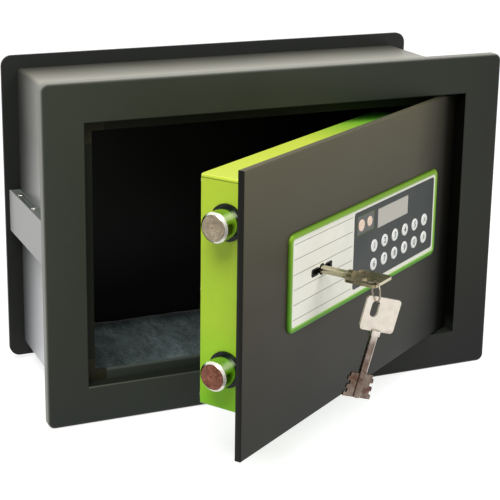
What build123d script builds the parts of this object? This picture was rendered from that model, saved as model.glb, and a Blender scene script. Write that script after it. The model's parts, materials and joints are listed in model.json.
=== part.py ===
"""Small wall safe with a hinged door, two round bolts, a double-bit key lock and an electronic keypad.

Units are millimetres and +Z is up. The origin is the centre of the rear face, the front looks along -Y.
Every piece is laid out with the door shut, in x, in depth d behind the front plane and in z. The pieces
that the door carries are then swung about the hinge line to the door's rest angle.
"""
from build123d import *
import math
import os

# ---------------------------------------------------------------- body of the safe
DEPTH = 150.0
FRAME_T = 2.5            # sheet of the folded front frame
FRAME_LIP = 8.0          # depth of the frame's outer folded edge
FRAME_CORNER_R = 6.0
FRAME_BEND_R = 2.4       # outside radius of the front edge
FLANGE_X = 20.0          # front frame past the body, on each side
FLANGE_Z = 15.0          # front frame past the body, above and below
REVEAL_D = 22.0          # depth of the frame's fold into the opening
FOLD_X = 12.5            # from the opening to the body's outside, on each side
FOLD_Z = 16.0            # the same above and below
BODY_T = 2.0
BODY_BEND_R = 3.0
REAR_X = 13.0            # rear plate past the body, on each side
REAR_Z = 11.0            # rear plate past the body, above and below
REAR_T = 3.0
REAR_CORNER_R = 9.0
ANCHOR_HOLE_R = 5.0
ANCHOR_X = 35.0          # anchor holes from the body's sides
ANCHOR_Z = 30.0          # anchor holes from the body's top and bottom
CHANNEL_H = 35.0         # hollow anchor channels on both sides, filled by the mortar
CHANNEL_T = 2.0
CHANNEL_INSET = 3.5      # how far the channel stays inside the rear plate's edge
CHANNEL_SCREW_R = 2.6
CHANNEL_SCREW_HEAD = 1.4
CHANNEL_SCREW_L = 2.0    # shank inside the channel
CHANNEL_SCREW_BACK = (66.0, 24.0)
MAT_T = 3.0
MAT_GAP = 0.3
MAT_FRONT_D = 28.0
MAT_SIDE_GAP = 3.0

# ---------------------------------------------------------------- keypad
BUTTON_NAMES = (("1", "2", "3", "4", "5", "a"), ("6", "7", "8", "9", "0", "b"))
BUTTON_R = 4.9
BUTTON_HOLE_GAP = 0.2
BUTTON_PROUD = 0.6
BUTTON_PITCH_X = 17.05
BUTTON_PITCH_Z = 14.8
BUTTON_LEFT = 31.8       # first button from the bezel's left edge
BUTTON_RIGHT = 15.65     # last button from the bezel's right edge
BUTTON_LOW = 12.2        # lower row from the bezel's bottom edge
BUTTON_HIGH = 32.5       # upper row from the bezel's top edge
BUTTON_DOME = 0.5
BUTTON_FLANGE_R = 5.9
BUTTON_FLANGE_T = 1.0
BUTTON_FLANGE_GAP = 0.1
BUTTON_STEM = 1.9
BUTTON_TRAVEL = 0.8
BEZEL_SINK = 0.3
BEZEL_R = 2.5
STATUS_LEFT = 4.4        # status pane from the bezel's left edge
STATUS_TOP = 3.7         # status pane from the bezel's top edge
STATUS_W = 27.2
STATUS_H = 14.9
STATUS_T = 1.2
LED_PLACES = ((6.4, 7.3, 4.6), (19.2, 7.6, 3.9))  # x, z and radius from the status pane's corner
LED_PROUD = 0.4
LED_L = 5.0
DISPLAY_GAP = 5.1        # between the status pane and the display
DISPLAY_TOP = 4.8        # display from the bezel's top edge
DISPLAY_W = 50.3
DISPLAY_H = 15.1
DISPLAY_T = 1.6
PANE_SINK = 0.1          # panes behind the bezel's face

# ---------------------------------------------------------------- fascia
FASCIA_RISE = 2.2
FASCIA_R = 7.0
BORDER_W = 4.2
BORDER_ROUND = 1.6
PANEL_SINK = 0.5
PANEL_GAP = 0.1
PALE_W = 87.4            # pale part of the panel, left of the keypad
RIM_RIGHT = 2.5          # pale panel right of the bezel
RIM_TOP = 2.1
RIM_BOTTOM = 3.6

# ---------------------------------------------------------------- door and hinge
DOOR_REST = 33.3         # how far the door stands open at rest, degrees
DOOR_GAP = 1.5           # gap at the lock side, top and bottom
DOOR_HINGE_GAP = 4.0     # gap at the hinge side, where the edge swings inwards
DOOR_T = 5.0
DOOR_SINK = 5.0          # door face behind the frame's face
DOOR_EDGE_R = 0.8
DOOR_LOCK_MARGIN = 55.7  # door left of the fascia
DOOR_HINGE_MARGIN = 32.8
DOOR_ABOVE = 57.2        # door above the fascia
DOOR_BELOW = 74.2
HINGE_INSET = 10.5       # pin axis from the door's hinge edge
HINGE_PIN_R = 4.0
HINGE_PIN_BACK = 4.0     # pin axis behind the door plate's back
HINGE_FIT = 0.05
HINGE_BUSH_R = 6.0
BLOCK_X = (-6.0, 8.5)    # hinge block, from the pin axis
BLOCK_T = 9.0
BLOCK_H = 23.5
BLOCK_DROP = 1.0         # block end below the door's edge
PIN_LENGTH = 30.0
PIN_CHAMFER = 0.8
BRACKET_W = 24.0
BRACKET_GAP = 2.0        # between the bracket and the body's inside
BRACKET_D = 20.0
STOP_W = 8.5             # door stop ledge, seen from the front
STOP_T = 1.5
STOP_GAP = 0.5           # between the shut door and its stop
STOP_LEG = 10.0
STOP_GUSSET = 18.0
STOP_GUSSET_T = 2.5
STOP_BLOCK_GAP = 8.0     # top and bottom stops end short of the hinge blocks
KEEPER_T = 3.0
KEEPER_GAP = 1.0         # play between the thrown bolts and their keeper
KEEPER_D = 30.0
KEEPER_END_GAP = 6.0
WINDOW_INSET_X = (5.2, 7.5)  # cut-out in the door plate, inside the bezel's outline
WINDOW_INSET_Z = (3.5, 3.0)

# ---------------------------------------------------------------- door pan
PAN_LOCK_MARGIN = 33.0   # pan from the door's lock edge
PAN_HINGE_MARGIN = 30.5
PAN_MARGIN_Z = 17.0
PAN_D = 52.0
PAN_T = 1.5
PAN_FLANGE = 12.0
PAN_BEND_R = 2.0
COVER_T = 1.2
COVER_INSET = 2.0
COVER_SCREW_R = 3.0
COVER_SCREW_HEAD = 1.8
COVER_SCREW_SHANK_R = 1.6
COVER_SCREW_L = 6.0
COVER_SCREW_SLOT = 0.8

# ---------------------------------------------------------------- bolts and their drive
BOLT_R = 11.0
BOLT_PAN_END = 31.5      # bolt axis from the pan's top or bottom
BOLT_BACK = 30.0         # bolt axis behind the door plate's back
BOLT_OUT = 17.5          # how far a drawn bolt stands out of the pan
BOLT_CHAMFER = 2.0
BOLT_DIMPLE_R = 1.1
BOLT_FIT = 0.05
BUSH_WALL = 1.0
BUSH_FLANGE = 2.4
BUSH_FLANGE_T = 1.2
BUSH_L = 20.0
STUD_R = 4.0
STUD_L = 11.0
BAR_T = 5.0
BAR_DEPTH = 12.0
BAR_END = 8.0
BAR_KEY_GAP = 13.1       # bar's lock side from the key's axis
NUT_R = 6.5
NUT_T = 5.0
MODULE = 0.75            # key pinion and rack
PINION_TEETH = 10
TOOTH_ADDENDUM = 0.7
RACK_ADDENDUM = 0.42
TOOTH_CLEARANCE = 0.25
TOOTH_ROOT = 0.1         # how far a rack tooth reaches into the rack's body
BACKLASH = 0.15
PRESSURE_ANGLE = math.radians(20)
RACK_AHEAD = 3.0         # rack's front face in front of the bolt axis
RACK_T = 6.0
RACK_H = 12.0
RACK_TAIL = 16.4         # rack past its second plunger hole
RACK_TOOTH_COUNT = 15
RACK_FIRST_TOOTH = 1.5   # teeth left of the key's axis
GUIDE_L = 6.0
GUIDE_SIDE_GAP = 1.0     # between the guide and the solenoid
GUIDE_WALL = 3.0
GUIDE_GAP = 0.3

# ---------------------------------------------------------------- lock and key
KEY_LEFT = 40.7          # key axis from the left edge of the pale panel
KEY_RISE = 0.8           # key axis above the fascia's middle
KEY_TIP_AHEAD = 7.6      # key's tip in front of the lock case's back
SHAFT_R = 3.0
SHAFT_L = 50.0
SHAFT_CHAMFER = 0.6
COLLAR_R = 4.0
COLLAR_L = 4.0
COLLAR_UP = 1.0          # collar's reach over the foot of the bow
BIT_R = 10.5
BIT_L = 18.0
BIT_T = 2.0
BIT_CUTS = (0.0, 2.4, 1.0, 3.0, 0.6, 1.8)
BOW_L = 25.0
BOW_W = 26.0
BOW_T = 2.2
BOW_CORNER_R = 2.5
BOW_SLOT_W = 6.0
BOW_SLOT_L = 12.0
BOW_SLOT_OFF = 5.5
BOW_STRIP = 3.0          # metal between the slot and the bow's far edge
RING_R = 7.2
RING_WIRE_R = 0.65
RING_YAW = 40.0
RING_SIDE = 2.9          # ring centre beside the slot's middle
RING_DROP = 5.9          # ring centre below the bow's top
RING_BEARING = 2.1       # how far the ring's wire sits from the middle of the slot's round end
SPARE_TILT = 15.0
LINER_W = 29.5
LINER_H = 6.2
LINER_WAIST = 4.6
LINER_LOBE = 10.5        # width of each end lobe of the keyhole liner
LINER_LOBE_R = 2.0
LINER_EYE_R = 4.3
LINER_SLOT_W = 24.0
LINER_SLOT_H = 3.2
LINER_SLOT_R = 0.8
LINER_SLOT_EYE_R = 3.5
CASE_W = 44.0
CASE_H = 48.0
CASE_T = 1.5
CASE_RACK_GAP = 1.0
ROTOR_R = 12.0
ROTOR_L = 5.0
ROTOR_GRIP = 3.0         # length of bit held by the rotor
ROTOR_SLOT_GAP = 0.3
SPINDLE_R = 5.0
SPINDLE_FIT = 0.05
PINION_GAP = 0.6
TAIL_R = 2.5
TAIL_L = 5.0
LEVER_COUNT = 6
LEVER_T = 1.8
LEVER_PITCH = 2.3
LEVER_FIRST = 2.0
LEVER_GAP = 0.2
LEVER_LIFT = 1.5
LEVER_WINDOW_H = 25.0
LEVER_WINDOW_R = 1.0
LEVER_R = 2.0
CHASSIS_SIDE = 6.6       # chassis past the key's axis on the bolt side
CHASSIS_ABOVE = 12.7     # chassis above the lock case
CHASSIS_BELOW = 21.3
CHASSIS_R = 3.0
CHASSIS_T = 2.0
CHASSIS_GAP = 3.0        # free space between the rack and the chassis plate
POST_R = 4.0
POST_INSET = 6.0
SOLENOID_W = 16.0
SOLENOID_SIDE_GAP = 3.4  # between the lock case and the solenoid
SOLENOID_GAP = 2.0
PLUNGER_R = 2.5
PLUNGER_FIT = 0.1
PLUNGER_HOLE_GAP = 0.3
PLUNGER_HELD = 11.0      # length of plunger that stays in the coil
PLUNGER_REST_GAP = 0.5
PLUNGER_END_GAP = 1.0
PLUNGER_STROKE = 5.0
PLUNGER_CHAMFER = 0.5

# ---------------------------------------------------------------- boards
BOARD_T = 1.6
BOARD_R = 1.0
KEYPAD_BOARD_GAP = 1.5
KEYPAD_BOARD_SIDE = 1.0  # board from the chassis plate
KEYPAD_BOARD_END = 3.0   # board inside the bezel's right edge
KEYPAD_BOARD_LOW = 5.5   # board below the bezel
KEYPAD_BOARD_HIGH = 7.0
KEYPAD_POST_X = 16.0
KEYPAD_POST_Z = 4.0
SMALL_POST_R = 3.0
SWITCH_W = 6.0
SWITCH_GAP = 0.2
SWITCH_CAP = 1.0
CONTROL_W = 90.0
CONTROL_SIDE = 18.0      # control board from the pan's hinge side
CONTROL_LOW_GAP = 4.0    # above the keypad board
CONTROL_HIGH_GAP = 5.5   # below the pan's top
CONTROL_STAND = 10.0
CONTROL_POST_INSET = 5.0
CHIP = (18.0, 12.0, 2.4)
PLUG = (22.0, 7.0, 8.0)

# ---------------------------------------------------------------- battery compartment
CELL_R = 7.1
CELL_L = 49.0
CELL_NUB_R = 2.6
CELL_NUB_L = 1.2
CELL_EDGE_R = 0.6
CELL_GAP = 0.3
TRAY_SIDE = 16.2         # tray from the pan's hinge side
TRAY_LOW = 5.2           # tray above the pan's lower flange
TRAY_T = 1.5
TRAY_END_GAP = 1.2
LID_MARGIN = 4.0
LID_T = 1.5
LID_GAP = 0.2
RAIL_W = 3.0
RAIL_LIP = 1.4
RAIL_LIP_T = 1.0
LID_GRIP_W = 8.0
LID_GRIP_T = 1.2

# ---------------------------------------------------------------- sizes that follow from those above
BEZEL_W = BUTTON_LEFT + (len(BUTTON_NAMES[0]) - 1) * BUTTON_PITCH_X + BUTTON_RIGHT
BEZEL_H = BUTTON_LOW + BUTTON_PITCH_Z + BUTTON_HIGH
FASCIA_W = 2 * BORDER_W + PALE_W + BEZEL_W + RIM_RIGHT
FASCIA_H = 2 * BORDER_W + RIM_BOTTOM + BEZEL_H + RIM_TOP
DOOR_W = DOOR_LOCK_MARGIN + FASCIA_W + DOOR_HINGE_MARGIN
DOOR_H = DOOR_ABOVE + FASCIA_H + DOOR_BELOW
OPENING_W = DOOR_GAP + DOOR_W + DOOR_HINGE_GAP
OPENING_H = DOOR_H + 2 * DOOR_GAP
BODY_W = OPENING_W + 2 * FOLD_X
BODY_H = OPENING_H + 2 * FOLD_Z
FRONT_W = BODY_W + 2 * FLANGE_X
FRONT_H = BODY_H + 2 * FLANGE_Z
REAR_W = BODY_W + 2 * REAR_X
REAR_H = BODY_H + 2 * REAR_Z
ANCHOR_PITCH_X = BODY_W - 2 * ANCHOR_X
ANCHOR_PITCH_Z = BODY_H - 2 * ANCHOR_Z
HALF_OPEN_W = OPENING_W / 2
HALF_OPEN_H = OPENING_H / 2
BRACKET_H = FOLD_Z - FRAME_T - BODY_T - BRACKET_GAP

# ---------------------------------------------------------------- places on the door, across and up
DOOR_HALF_H = DOOR_H / 2
DOOR_X = (-HALF_OPEN_W + DOOR_GAP, HALF_OPEN_W - DOOR_HINGE_GAP)
HINGE_X = DOOR_X[1] - HINGE_INSET
STOP_END_X = HINGE_X + BLOCK_X[0] - STOP_BLOCK_GAP
FASCIA_X = (DOOR_X[0] + DOOR_LOCK_MARGIN, DOOR_X[1] - DOOR_HINGE_MARGIN)
FASCIA_Z = (-DOOR_HALF_H + DOOR_BELOW, DOOR_HALF_H - DOOR_ABOVE)
PALE_X = FASCIA_X[0] + BORDER_W
BEZEL_X = (PALE_X + PALE_W, PALE_X + PALE_W + BEZEL_W)
BEZEL_Z = (FASCIA_Z[0] + BORDER_W + RIM_BOTTOM, FASCIA_Z[1] - BORDER_W - RIM_TOP)
BUTTON_X = BEZEL_X[0] + BUTTON_LEFT
BUTTON_Z = BEZEL_Z[1] - BUTTON_HIGH
STATUS_X = (BEZEL_X[0] + STATUS_LEFT, BEZEL_X[0] + STATUS_LEFT + STATUS_W)
STATUS_Z = (BEZEL_Z[1] - STATUS_TOP - STATUS_H, BEZEL_Z[1] - STATUS_TOP)
DISPLAY_X = (STATUS_X[1] + DISPLAY_GAP, STATUS_X[1] + DISPLAY_GAP + DISPLAY_W)
DISPLAY_Z = (BEZEL_Z[1] - DISPLAY_TOP - DISPLAY_H, BEZEL_Z[1] - DISPLAY_TOP)
WINDOW_X = (BEZEL_X[0] + WINDOW_INSET_X[0], BEZEL_X[1] - WINDOW_INSET_X[1])
WINDOW_Z = (BEZEL_Z[0] + WINDOW_INSET_Z[0], BEZEL_Z[1] - WINDOW_INSET_Z[1])
PAN_X = (DOOR_X[0] + PAN_LOCK_MARGIN, DOOR_X[1] - PAN_HINGE_MARGIN)
PAN_Z = (-DOOR_HALF_H + PAN_MARGIN_Z, DOOR_HALF_H - PAN_MARGIN_Z)
KEY_X = PALE_X + KEY_LEFT
KEY_Z = (FASCIA_Z[0] + FASCIA_Z[1]) / 2 + KEY_RISE
CASE_X = (KEY_X - CASE_W / 2, KEY_X + CASE_W / 2)
CASE_Z = (KEY_Z - CASE_H / 2, KEY_Z + CASE_H / 2)
BOLT_Z = PAN_Z[1] - BOLT_PAN_END
BOLT_TIP_X = PAN_X[0] - BOLT_OUT
BAR_X = KEY_X - BAR_KEY_GAP
PITCH_R = MODULE * PINION_TEETH / 2
BOLT_TRAVEL = 2 * math.pi * PITCH_R
RACK_PITCH_Z = KEY_Z - PITCH_R
RACK_TOP = RACK_PITCH_Z - TOOTH_ADDENDUM - TOOTH_CLEARANCE
SOLENOID_X = CASE_X[1] + SOLENOID_SIDE_GAP + SOLENOID_W / 2
PLUNGER_Z = RACK_TOP - RACK_H / 2
RACK_END_X = SOLENOID_X + BOLT_TRAVEL + RACK_TAIL
GUIDE_START = SOLENOID_X + SOLENOID_W / 2 + GUIDE_SIDE_GAP
GUIDE_X = (GUIDE_START, GUIDE_START + GUIDE_L)
CHASSIS_X = (KEY_X - CHASSIS_SIDE, GUIDE_X[1])
CHASSIS_Z = (CASE_Z[0] - CHASSIS_BELOW, CASE_Z[1] + CHASSIS_ABOVE)
KEYPAD_BOARD_X = (CHASSIS_X[1] + KEYPAD_BOARD_SIDE, BEZEL_X[1] - KEYPAD_BOARD_END)
KEYPAD_BOARD_Z = (BEZEL_Z[0] - KEYPAD_BOARD_LOW, BEZEL_Z[1] + KEYPAD_BOARD_HIGH)
CONTROL_X = (PAN_X[1] - CONTROL_SIDE - CONTROL_W, PAN_X[1] - CONTROL_SIDE)
CONTROL_Z = (KEYPAD_BOARD_Z[1] + CONTROL_LOW_GAP, PAN_Z[1] - CONTROL_HIGH_GAP)
TRAY_W = 2 * (CELL_L + CELL_NUB_L) + 2 * TRAY_END_GAP + 2 * TRAY_T
TRAY_H = 4 * CELL_R + 3 * CELL_GAP + 2 * TRAY_T
TRAY_X = (PAN_X[1] - TRAY_SIDE - TRAY_W, PAN_X[1] - TRAY_SIDE)
TRAY_Z = (PAN_Z[0] + PAN_FLANGE + TRAY_LOW, PAN_Z[0] + PAN_FLANGE + TRAY_LOW + TRAY_H)
LID_X = (TRAY_X[0] - LID_MARGIN, TRAY_X[1] + LID_MARGIN)
LID_Z = (TRAY_Z[0] - LID_MARGIN, TRAY_Z[1] + LID_MARGIN)

# ---------------------------------------------------------------- depths behind the front plane
DOOR_FRONT = DOOR_SINK
DOOR_BACK = DOOR_SINK + DOOR_T
HINGE_D = DOOR_BACK + HINGE_PIN_BACK
PAN_BACK = DOOR_BACK + PAN_D
COVER_BACK = PAN_BACK + COVER_T
BOLT_D = DOOR_BACK + BOLT_BACK
RACK_D = (BOLT_D - RACK_AHEAD, BOLT_D - RACK_AHEAD + RACK_T)
CASE_BACK = RACK_D[0] - CASE_RACK_GAP
CHASSIS_D = (RACK_D[1] + CHASSIS_GAP, RACK_D[1] + CHASSIS_GAP + CHASSIS_T)
FASCIA_FRONT = DOOR_FRONT - FASCIA_RISE
PANEL_FRONT = FASCIA_FRONT + PANEL_SINK
BEZEL_FRONT = FASCIA_FRONT + BEZEL_SINK
KEY_TIP_D = CASE_BACK - KEY_TIP_AHEAD
ROTOR_FRONT = KEY_TIP_D - ROTOR_GRIP
BOW_FRONT_D = KEY_TIP_D - SHAFT_L
FLANGE_D = DOOR_FRONT + BUTTON_FLANGE_GAP
BUTTON_BACK = FLANGE_D + BUTTON_STEM
BOARD_FRONT = DOOR_BACK + KEYPAD_BOARD_GAP
HINGE = Axis((HINGE_X, HINGE_D - DEPTH, 0), (0, 0, 1))

PARTS = {}


# ---------------------------------------------------------------- shape helpers
def block(x, d, z):
    """A box between low and high limits in x, depth behind the front plane, and z."""
    middle = Pos((x[0] + x[1]) / 2, (d[0] + d[1]) / 2 - DEPTH, (z[0] + z[1]) / 2)
    return middle * Box(x[1] - x[0], d[1] - d[0], z[1] - z[0])


def slab(outline, d):
    """An outline drawn in x and z, as thick as from depth d[0] to d[1]."""
    plane = Plane(origin=(0, d[1] - DEPTH, 0), x_dir=(1, 0, 0), z_dir=(0, -1, 0))
    return extrude(plane * outline, amount=d[1] - d[0])


def rod_d(x, z, r, d):
    """A round bar along the depth."""
    return slab(Pos(x, z) * Circle(r), d)


def rod_x(d, z, r, x):
    """A round bar along x."""
    return Pos((x[0] + x[1]) / 2, d - DEPTH, z) * Rot(0, 90, 0) * Cylinder(r, x[1] - x[0])


def rod_z(x, d, r, z):
    """A round bar along z."""
    return Pos(x, d - DEPTH, (z[0] + z[1]) / 2) * Cylinder(r, z[1] - z[0])


def area(x, z, r=0.0):
    """A rectangle in x and z, with round corners if r is given."""
    size = (x[1] - x[0], z[1] - z[0])
    flat = RectangleRounded(*size, r) if r else Rectangle(*size)
    return Pos((x[0] + x[1]) / 2, (z[0] + z[1]) / 2) * flat


def grown(limits, by):
    """Limits moved outwards by an amount, or inwards if it is negative."""
    return (limits[0] - by, limits[1] + by)


def fixed(name, *solids):
    """Keep solids that stay with the safe's body."""
    PARTS[name] = [one for solid in solids for one in solid.solids()]


def hung(name, *solids):
    """Keep solids that the door carries, swung to the door's rest angle."""
    PARTS[name] = [one.rotate(HINGE, DOOR_REST) for solid in solids for one in solid.solids()]


# ---------------------------------------------------------------- body of the safe
def front_frame():
    outer = slab(RectangleRounded(FRONT_W, FRONT_H, FRAME_CORNER_R), (0, FRAME_LIP))
    outer = fillet(outer.faces().sort_by(Axis.Y)[0].edges(), FRAME_BEND_R)
    inner_r = FRAME_CORNER_R - FRAME_T
    inside = RectangleRounded(FRONT_W - 2 * FRAME_T, FRONT_H - 2 * FRAME_T, inner_r)
    frame = outer - slab(inside, (FRAME_T, FRAME_LIP))
    fold = Rectangle(OPENING_W + 2 * FRAME_T, OPENING_H + 2 * FRAME_T)
    frame += slab(fold, (0, REVEAL_D))
    frame -= slab(Rectangle(OPENING_W, OPENING_H), (0, REVEAL_D))
    for side in (-1, 1):
        reach = sorted((side * HALF_OPEN_H, side * (HALF_OPEN_H + FRAME_T)))
        frame -= rod_z(HINGE_X, HINGE_D, HINGE_BUSH_R, reach)
    fixed("front_frame", frame)


def body_shell():
    d = (FRAME_T, DEPTH - REAR_T)
    shell = slab(RectangleRounded(BODY_W, BODY_H, BODY_BEND_R), d)
    inner = RectangleRounded(BODY_W - 2 * BODY_T, BODY_H - 2 * BODY_T, BODY_BEND_R - BODY_T)
    fixed("body_shell", shell - slab(inner, d))


def rear_plate():
    plate = slab(RectangleRounded(REAR_W, REAR_H, REAR_CORNER_R), (DEPTH - REAR_T, DEPTH))
    for x in (-ANCHOR_PITCH_X / 2, ANCHOR_PITCH_X / 2):
        for z in (-ANCHOR_PITCH_Z / 2, ANCHOR_PITCH_Z / 2):
            plate -= rod_d(x, z, ANCHOR_HOLE_R, (DEPTH - REAR_T, DEPTH))
    fixed("rear_plate", plate)


def anchor_channels():
    """Open channels that bridge from the front frame to the rear plate on each side."""
    d = (FRAME_LIP, DEPTH - REAR_T)
    reach = REAR_W / 2 - CHANNEL_INSET
    screws = []
    channels = []
    for side in (-1, 1):
        outer = block(sorted((side * BODY_W / 2, side * reach)), d, (-CHANNEL_H / 2, CHANNEL_H / 2))
        inner_z = CHANNEL_H / 2 - CHANNEL_T
        core = sorted((side * BODY_W / 2, side * (reach - CHANNEL_T)))
        channel = outer - block(core, d, (-inner_z, inner_z))
        for back in CHANNEL_SCREW_BACK:
            x = side * (BODY_W / 2 + reach) / 2
            depth = DEPTH - back
            channel -= rod_z(x, depth, CHANNEL_SCREW_R / 2, (inner_z, CHANNEL_H / 2))
            head = rod_z(x, depth, CHANNEL_SCREW_R, (CHANNEL_H / 2, CHANNEL_H / 2 + CHANNEL_SCREW_HEAD))
            head = fillet(head.edges().sort_by(Axis.Z)[-1], CHANNEL_SCREW_HEAD * 0.64)
            shank_z = (inner_z - CHANNEL_SCREW_L, CHANNEL_H / 2)
            screws.append(head + rod_z(x, depth, CHANNEL_SCREW_R / 2, shank_z))
        channels.append(channel)
    fixed("anchor_channels", *channels)
    fixed("channel_screws", *screws)


def stop_profile(length_x=None, length_z=None, at=0.0, side=1):
    """One angle strip of the door stop: a ledge behind the door and a leg along the fold."""
    d = (DOOR_BACK + STOP_GAP, DOOR_BACK + STOP_GAP + STOP_T)
    leg_d = (d[0], d[0] + STOP_LEG)
    if length_z:
        ledge = block(sorted((at, at - side * STOP_W)), d, length_z)
        return ledge + block(sorted((at, at - side * STOP_T)), leg_d, length_z)
    ledge = block(length_x, d, sorted((at, at - side * STOP_W)))
    return ledge + block(length_x, leg_d, sorted((at, at - side * STOP_T)))


def door_stops():
    """Strips at the lock side, top and bottom, with a gusset in each lock-side corner."""
    left = -HALF_OPEN_W
    upright_z = (-HALF_OPEN_H + STOP_GUSSET, HALF_OPEN_H - STOP_GUSSET)
    level_x = (left + STOP_GUSSET, STOP_END_X)
    strips = [stop_profile(length_z=upright_z, at=left, side=-1)]
    gussets = []
    for side in (-1, 1):
        edge = side * HALF_OPEN_H
        strips.append(stop_profile(length_x=level_x, at=edge, side=side))
        d = (DOOR_BACK + STOP_GAP, DOOR_BACK + STOP_GAP + STOP_GUSSET_T)
        plate = block((left, left + STOP_GUSSET), d, sorted((edge, edge - side * STOP_GUSSET)))
        inner_x = (left + STOP_W, left + STOP_GUSSET)
        plate -= block(inner_x, d, sorted((edge - side * STOP_W, edge - side * STOP_GUSSET)))
        gussets.append(plate)
    fixed("door_stop_strips", *strips)
    fixed("stop_gussets", *gussets)


def bolt_keeper():
    """Angle bar inside the lock side. The thrown bolts bear on its front leg."""
    wall = -BODY_W / 2 + BODY_T
    half = BODY_H / 2 - BODY_T - KEEPER_END_GAP
    face = BOLT_D - BOLT_R - KEEPER_GAP
    leg = block((wall, -HALF_OPEN_W + STOP_W), (face - KEEPER_T, face), (-half, half))
    leg += block((wall, wall + KEEPER_T), (face - KEEPER_T, face + KEEPER_D), (-half, half))
    fixed("bolt_keeper", leg)


def hinge_seats():
    """Welded brackets behind the fold, each with a bush for its hinge pin."""
    brackets = []
    bushes = []
    for side in (-1, 1):
        z = sorted((side * (HALF_OPEN_H + FRAME_T), side * (HALF_OPEN_H + FRAME_T + BRACKET_H)))
        x = (HINGE_X - BRACKET_W / 2, HINGE_X + BRACKET_W / 2)
        seat = block(x, (HINGE_D - BRACKET_D / 2, HINGE_D + BRACKET_D / 2), z)
        brackets.append(seat - rod_z(HINGE_X, HINGE_D, HINGE_BUSH_R, z))
        reach = sorted((side * HALF_OPEN_H, side * (HALF_OPEN_H + FRAME_T + BRACKET_H)))
        bush = rod_z(HINGE_X, HINGE_D, HINGE_BUSH_R, reach)
        bushes.append(bush - rod_z(HINGE_X, HINGE_D, HINGE_PIN_R + HINGE_FIT, reach))
    fixed("hinge_brackets", *brackets)
    fixed("hinge_bushes", *bushes)


def floor_mat():
    half = BODY_W / 2 - BODY_T - MAT_SIDE_GAP
    floor = -BODY_H / 2 + BODY_T + MAT_GAP
    d = (MAT_FRONT_D, DEPTH - REAR_T - MAT_SIDE_GAP)
    mat = block((-half, half), d, (floor, floor + MAT_T))
    fixed("floor_mat", mat)


# ---------------------------------------------------------------- door
def keyhole():
    """Outline of the keyhole liner: two lobes for the bits, a narrower waist and a round eye."""
    outline = Rectangle(LINER_W - LINER_LOBE, LINER_WAIST) + Circle(LINER_EYE_R)
    for side in (-1, 1):
        middle = side * (LINER_W - LINER_LOBE) / 2
        outline += Pos(middle, 0) * RectangleRounded(LINER_LOBE, LINER_H, LINER_LOBE_R)
    return Pos(KEY_X, KEY_Z) * outline


def door_plate():
    plate = slab(area(DOOR_X, (-DOOR_HALF_H, DOOR_HALF_H)), (DOOR_FRONT, DOOR_BACK))
    plate = fillet(plate.faces().sort_by(Axis.Y)[0].edges(), DOOR_EDGE_R)
    plate -= slab(area(WINDOW_X, WINDOW_Z, BEZEL_R), (DOOR_FRONT, DOOR_BACK))
    plate -= slab(keyhole(), (DOOR_FRONT, DOOR_BACK))
    hung("door_plate", plate)


def hinge_blocks():
    blocks = []
    pins = []
    for side in (-1, 1):
        end = side * (DOOR_HALF_H - BLOCK_DROP)
        z = sorted((end, end - side * BLOCK_H))
        x = (HINGE_X + BLOCK_X[0], HINGE_X + BLOCK_X[1])
        body = block(x, (DOOR_BACK, DOOR_BACK + BLOCK_T), z)
        top = side * (HALF_OPEN_H + FRAME_T + BRACKET_H)
        reach = sorted((top, top - side * PIN_LENGTH))
        blocks.append(body - rod_z(HINGE_X, HINGE_D, HINGE_PIN_R, reach))
        pin = rod_z(HINGE_X, HINGE_D, HINGE_PIN_R, reach)
        pins.append(chamfer(pin.edges().sort_by(Axis.Z)[-1 if side > 0 else 0], PIN_CHAMFER))
    hung("hinge_blocks", *blocks)
    hung("hinge_pins", *pins)


def door_pan():
    """Folded box behind the door plate, open at the back inside a screw flange."""
    outer = slab(area(PAN_X, PAN_Z, PAN_BEND_R), (DOOR_BACK, PAN_BACK))
    room = area(grown(PAN_X, -PAN_T), grown(PAN_Z, -PAN_T), PAN_BEND_R - PAN_T)
    pan = outer - slab(room, (DOOR_BACK, PAN_BACK - PAN_T))
    mouth = area(grown(PAN_X, -PAN_FLANGE), grown(PAN_Z, -PAN_FLANGE))
    pan -= slab(mouth, (DOOR_BACK, PAN_BACK))
    wall = (PAN_X[0], PAN_X[0] + PAN_T)
    for side in (-1, 1):
        pan -= rod_x(BOLT_D, side * BOLT_Z, BOLT_R + BOLT_FIT + BUSH_WALL, wall)
    for x, z in cover_screw_places():
        pan -= rod_d(x, z, COVER_SCREW_SHANK_R, (PAN_BACK - PAN_T, PAN_BACK))
    hung("door_pan", pan)


def cover_screw_places():
    low, high = grown(PAN_Z, -PAN_FLANGE / 2)
    return [(x, z) for x in grown(PAN_X, -PAN_FLANGE / 2) for z in (low, (low + high) / 2, high)]


def back_cover():
    outline = area(grown(PAN_X, -COVER_INSET), grown(PAN_Z, -COVER_INSET), PAN_BEND_R)
    outline -= area(grown(TRAY_X, -TRAY_T), grown(TRAY_Z, -TRAY_T))
    cover = slab(outline, (PAN_BACK, COVER_BACK))
    for at in cover_screw_places():
        cover -= rod_d(*at, COVER_SCREW_SHANK_R, (PAN_BACK, COVER_BACK))
    rail_d = (COVER_BACK, COVER_BACK + LID_T + 2 * LID_GAP)
    lip_d = (rail_d[1], rail_d[1] + RAIL_LIP_T)
    for side in (0, 1):
        sign = 2 * side - 1
        near = LID_Z[side] + sign * LID_GAP
        far = near + sign * RAIL_W
        cover += block(LID_X, (COVER_BACK, lip_d[1]), sorted((near, far)))
        cover += block(LID_X, lip_d, sorted((near - sign * RAIL_LIP, far)))
    hung("back_cover", cover)


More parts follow.
